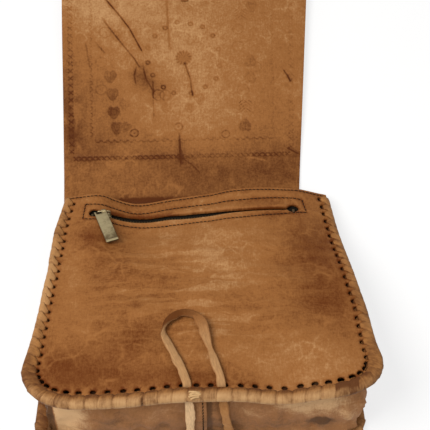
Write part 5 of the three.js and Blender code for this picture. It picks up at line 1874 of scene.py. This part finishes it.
# Painted shade: the flap's root is darkened just past the mouth's left part, where the mouth's gap and the
# front panel's sagging edge shade it.
mouth_shade = between(0.012, 0.0005, flap_r + 0.0009 * ripple(flap_x, flap_r, 0.03, 87)) ** 1.8
mouth_shade = mouth_shade * between(-0.08, -0.06, flap_x) * between(0.02, -0.03, flap_x)
flap_tone = 0.5 + patches(flap_x, flap_r, FLAP_TONE_PATCHES) - 0.5 * pressed - 0.72 * creased - 0.62 * mouth_shade
flap_marks = {"tone": flap_tone, "crease": np.zeros(len(flap_flat))}
flap_relief = -STAMP_DEPTH * pressed - CREASE_DEPTH * creased
outer_tone = 0.47 + 0.03 * ripple(flap_x, flap_r, 0.05, 89)
flap = leather_piece("flap_leather", flap_flat, flap_triangles, on_flap(flap_x, flap_r, LEATHER), LEATHER,
                     flap_marks, flap_relief, under_flesh=0.0, under_tone=outer_tone)
flap_hide = hide_material("flap_hide", Dark=(0.075, 0.018, 0.002, 1), Clouds=0.32, Mottle=0.4, Veins=0.13)
flap.data.materials.append(flap_hide)
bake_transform(flap)
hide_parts("flap")

# Toggle: a strip of the same hide rolled up tight, waisted where its lace goes round, on the flap's
# outer face. The loop closes over it.
TOGGLE_WAIST = 0.003
TOGGLE_STATIONS = (-15, -14.7, -13, -9, -6, -4.6, -3.6, -2, 0, 2, 3.6, 4.6, 6, 9, 13, 14.7, 15)
TOGGLE_AXLE = TOGGLE_RADIUS + 0.0001
ROLL_TURNS = 2.4
ROLL_LEATHER = 0.0013
ROLL_CORE = 0.0009
roll = np.linspace(0, 1, 64)
roll_radius = ROLL_CORE + (TOGGLE_RADIUS - ROLL_CORE) * roll
roll_angle = math.tau * ROLL_TURNS * roll - math.pi * 0.8
toggle_x = np.array(TOGGLE_STATIONS) * MM
waist = 1 - (1 - TOGGLE_WAIST / TOGGLE_RADIUS) * between(0.0052, 0.0034, np.abs(toggle_x))
waist = waist * (1 - 0.05 * (np.abs(toggle_x) > 0.0149))
toggle_points, toggle_flat, toggle_faces = [], [], []
for x, size in zip(toggle_x, waist):
    outer = roll_radius * size
    inner = np.maximum(outer - ROLL_LEATHER * size, 0.0002)
    for radius, angle in list(zip(outer, roll_angle)) + list(zip(inner, roll_angle))[::-1]:
        toggle_points.append((TOGGLE_X + x, MOUTH_Y + TOGGLE_REACH + radius * math.cos(angle),
                              TOGGLE_AXLE + radius * math.sin(angle)))
        toggle_flat.append((x, radius * angle))
ring = 2 * len(roll)
join_rings(toggle_faces, 0, ring, len(toggle_x), order=(3, 2, 1, 0), ends="open")
for k, order in ((0, 1), (len(toggle_x) - 1, -1)):
    for j in range(len(roll) - 1):
        toggle_faces.append(tuple(k * ring + i for i in (j, j + 1, ring - 2 - j, ring - 1 - j))[::order])


def plain_marks(count, tone):
    """Marks of a piece with one tone, no creases and only its grain side showing."""
    return {"tone": np.full(count, tone), "crease": np.zeros(count), "flesh": np.zeros(count)}


toggle_marks = plain_marks(len(toggle_points), 0.4)
toggle = add_piece("rolled_toggle", toggle_points, toggle_faces, toggle_flat, toggle_marks, 50)
toggle.data.materials.append(hide_material("toggle_hide"))
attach(toggle, "flap")
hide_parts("toggle")

# Toggle lace: a short flat lace round the toggle's waist. It goes through two slits in the flap and
# shows as a small bridge on the inner face.
TOGGLE_LACE = (0.006, 0.0009)
LACE_LIFT = 0.00055
LACE_STEPS = 5
bridge = on_flap((TOGGLE_X,), (TOGGLE_REACH,), LEATHER + LACE_LIFT)[0, 2]
half_route = np.array((
    (0.0026, TOGGLE_AXLE - 0.0024), (0.0035, TOGGLE_AXLE), (TOGGLE_SLIT, TOGGLE_AXLE + 0.0026),
    (TOGGLE_SLIT, bridge - 0.002), (TOGGLE_SLIT - 0.0001, bridge - 0.0006),
    (TOGGLE_SLIT - 0.0012, bridge + 0.0001),
))
lace_route = np.vstack((
    (0, TOGGLE_AXLE - 0.0035), half_route, (0, bridge + 0.0003), half_route[::-1] * (-1, 1)
))
lace_count = len(lace_route)
overlapped = np.vstack((lace_route[-3:], lace_route, lace_route[:3]))
wrapped = smooth_rows(overlapped, (lace_count + 5) * LACE_STEPS + 1)
wrapped = wrapped[3 * LACE_STEPS:(3 + lace_count) * LACE_STEPS]
lace_run = unit(np.roll(wrapped, -1, axis=0) - np.roll(wrapped, 1, axis=0))
lace_out = np.column_stack((lace_run[:, 1], -lace_run[:, 0]))
lace_points, lace_faces, lace_flat = [], [], []
for k, (place, out) in enumerate(zip(wrapped, lace_out)):
    for across, lift in THONG_RING:
        offset = out * lift * TOGGLE_LACE[1] / 2
        lace_points.append((TOGGLE_X + across * TOGGLE_LACE[0] / 2,
                            MOUTH_Y + TOGGLE_REACH + place[0] + offset[0], place[1] + offset[1]))
        lace_flat.append((across * TOGGLE_LACE[0] / 2, k * 0.0006))
join_rings(lace_faces, 0, len(THONG_RING), len(wrapped), ends="joined")
lace_marks = plain_marks(len(lace_points), 0.3)
toggle_lace = add_piece("toggle_strap", lace_points, lace_faces, lace_flat, lace_marks, 55)
toggle_lace.data.materials.append(hide_material("toggle_lace_hide"))
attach(toggle_lace, "flap")
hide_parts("toggle_lace")
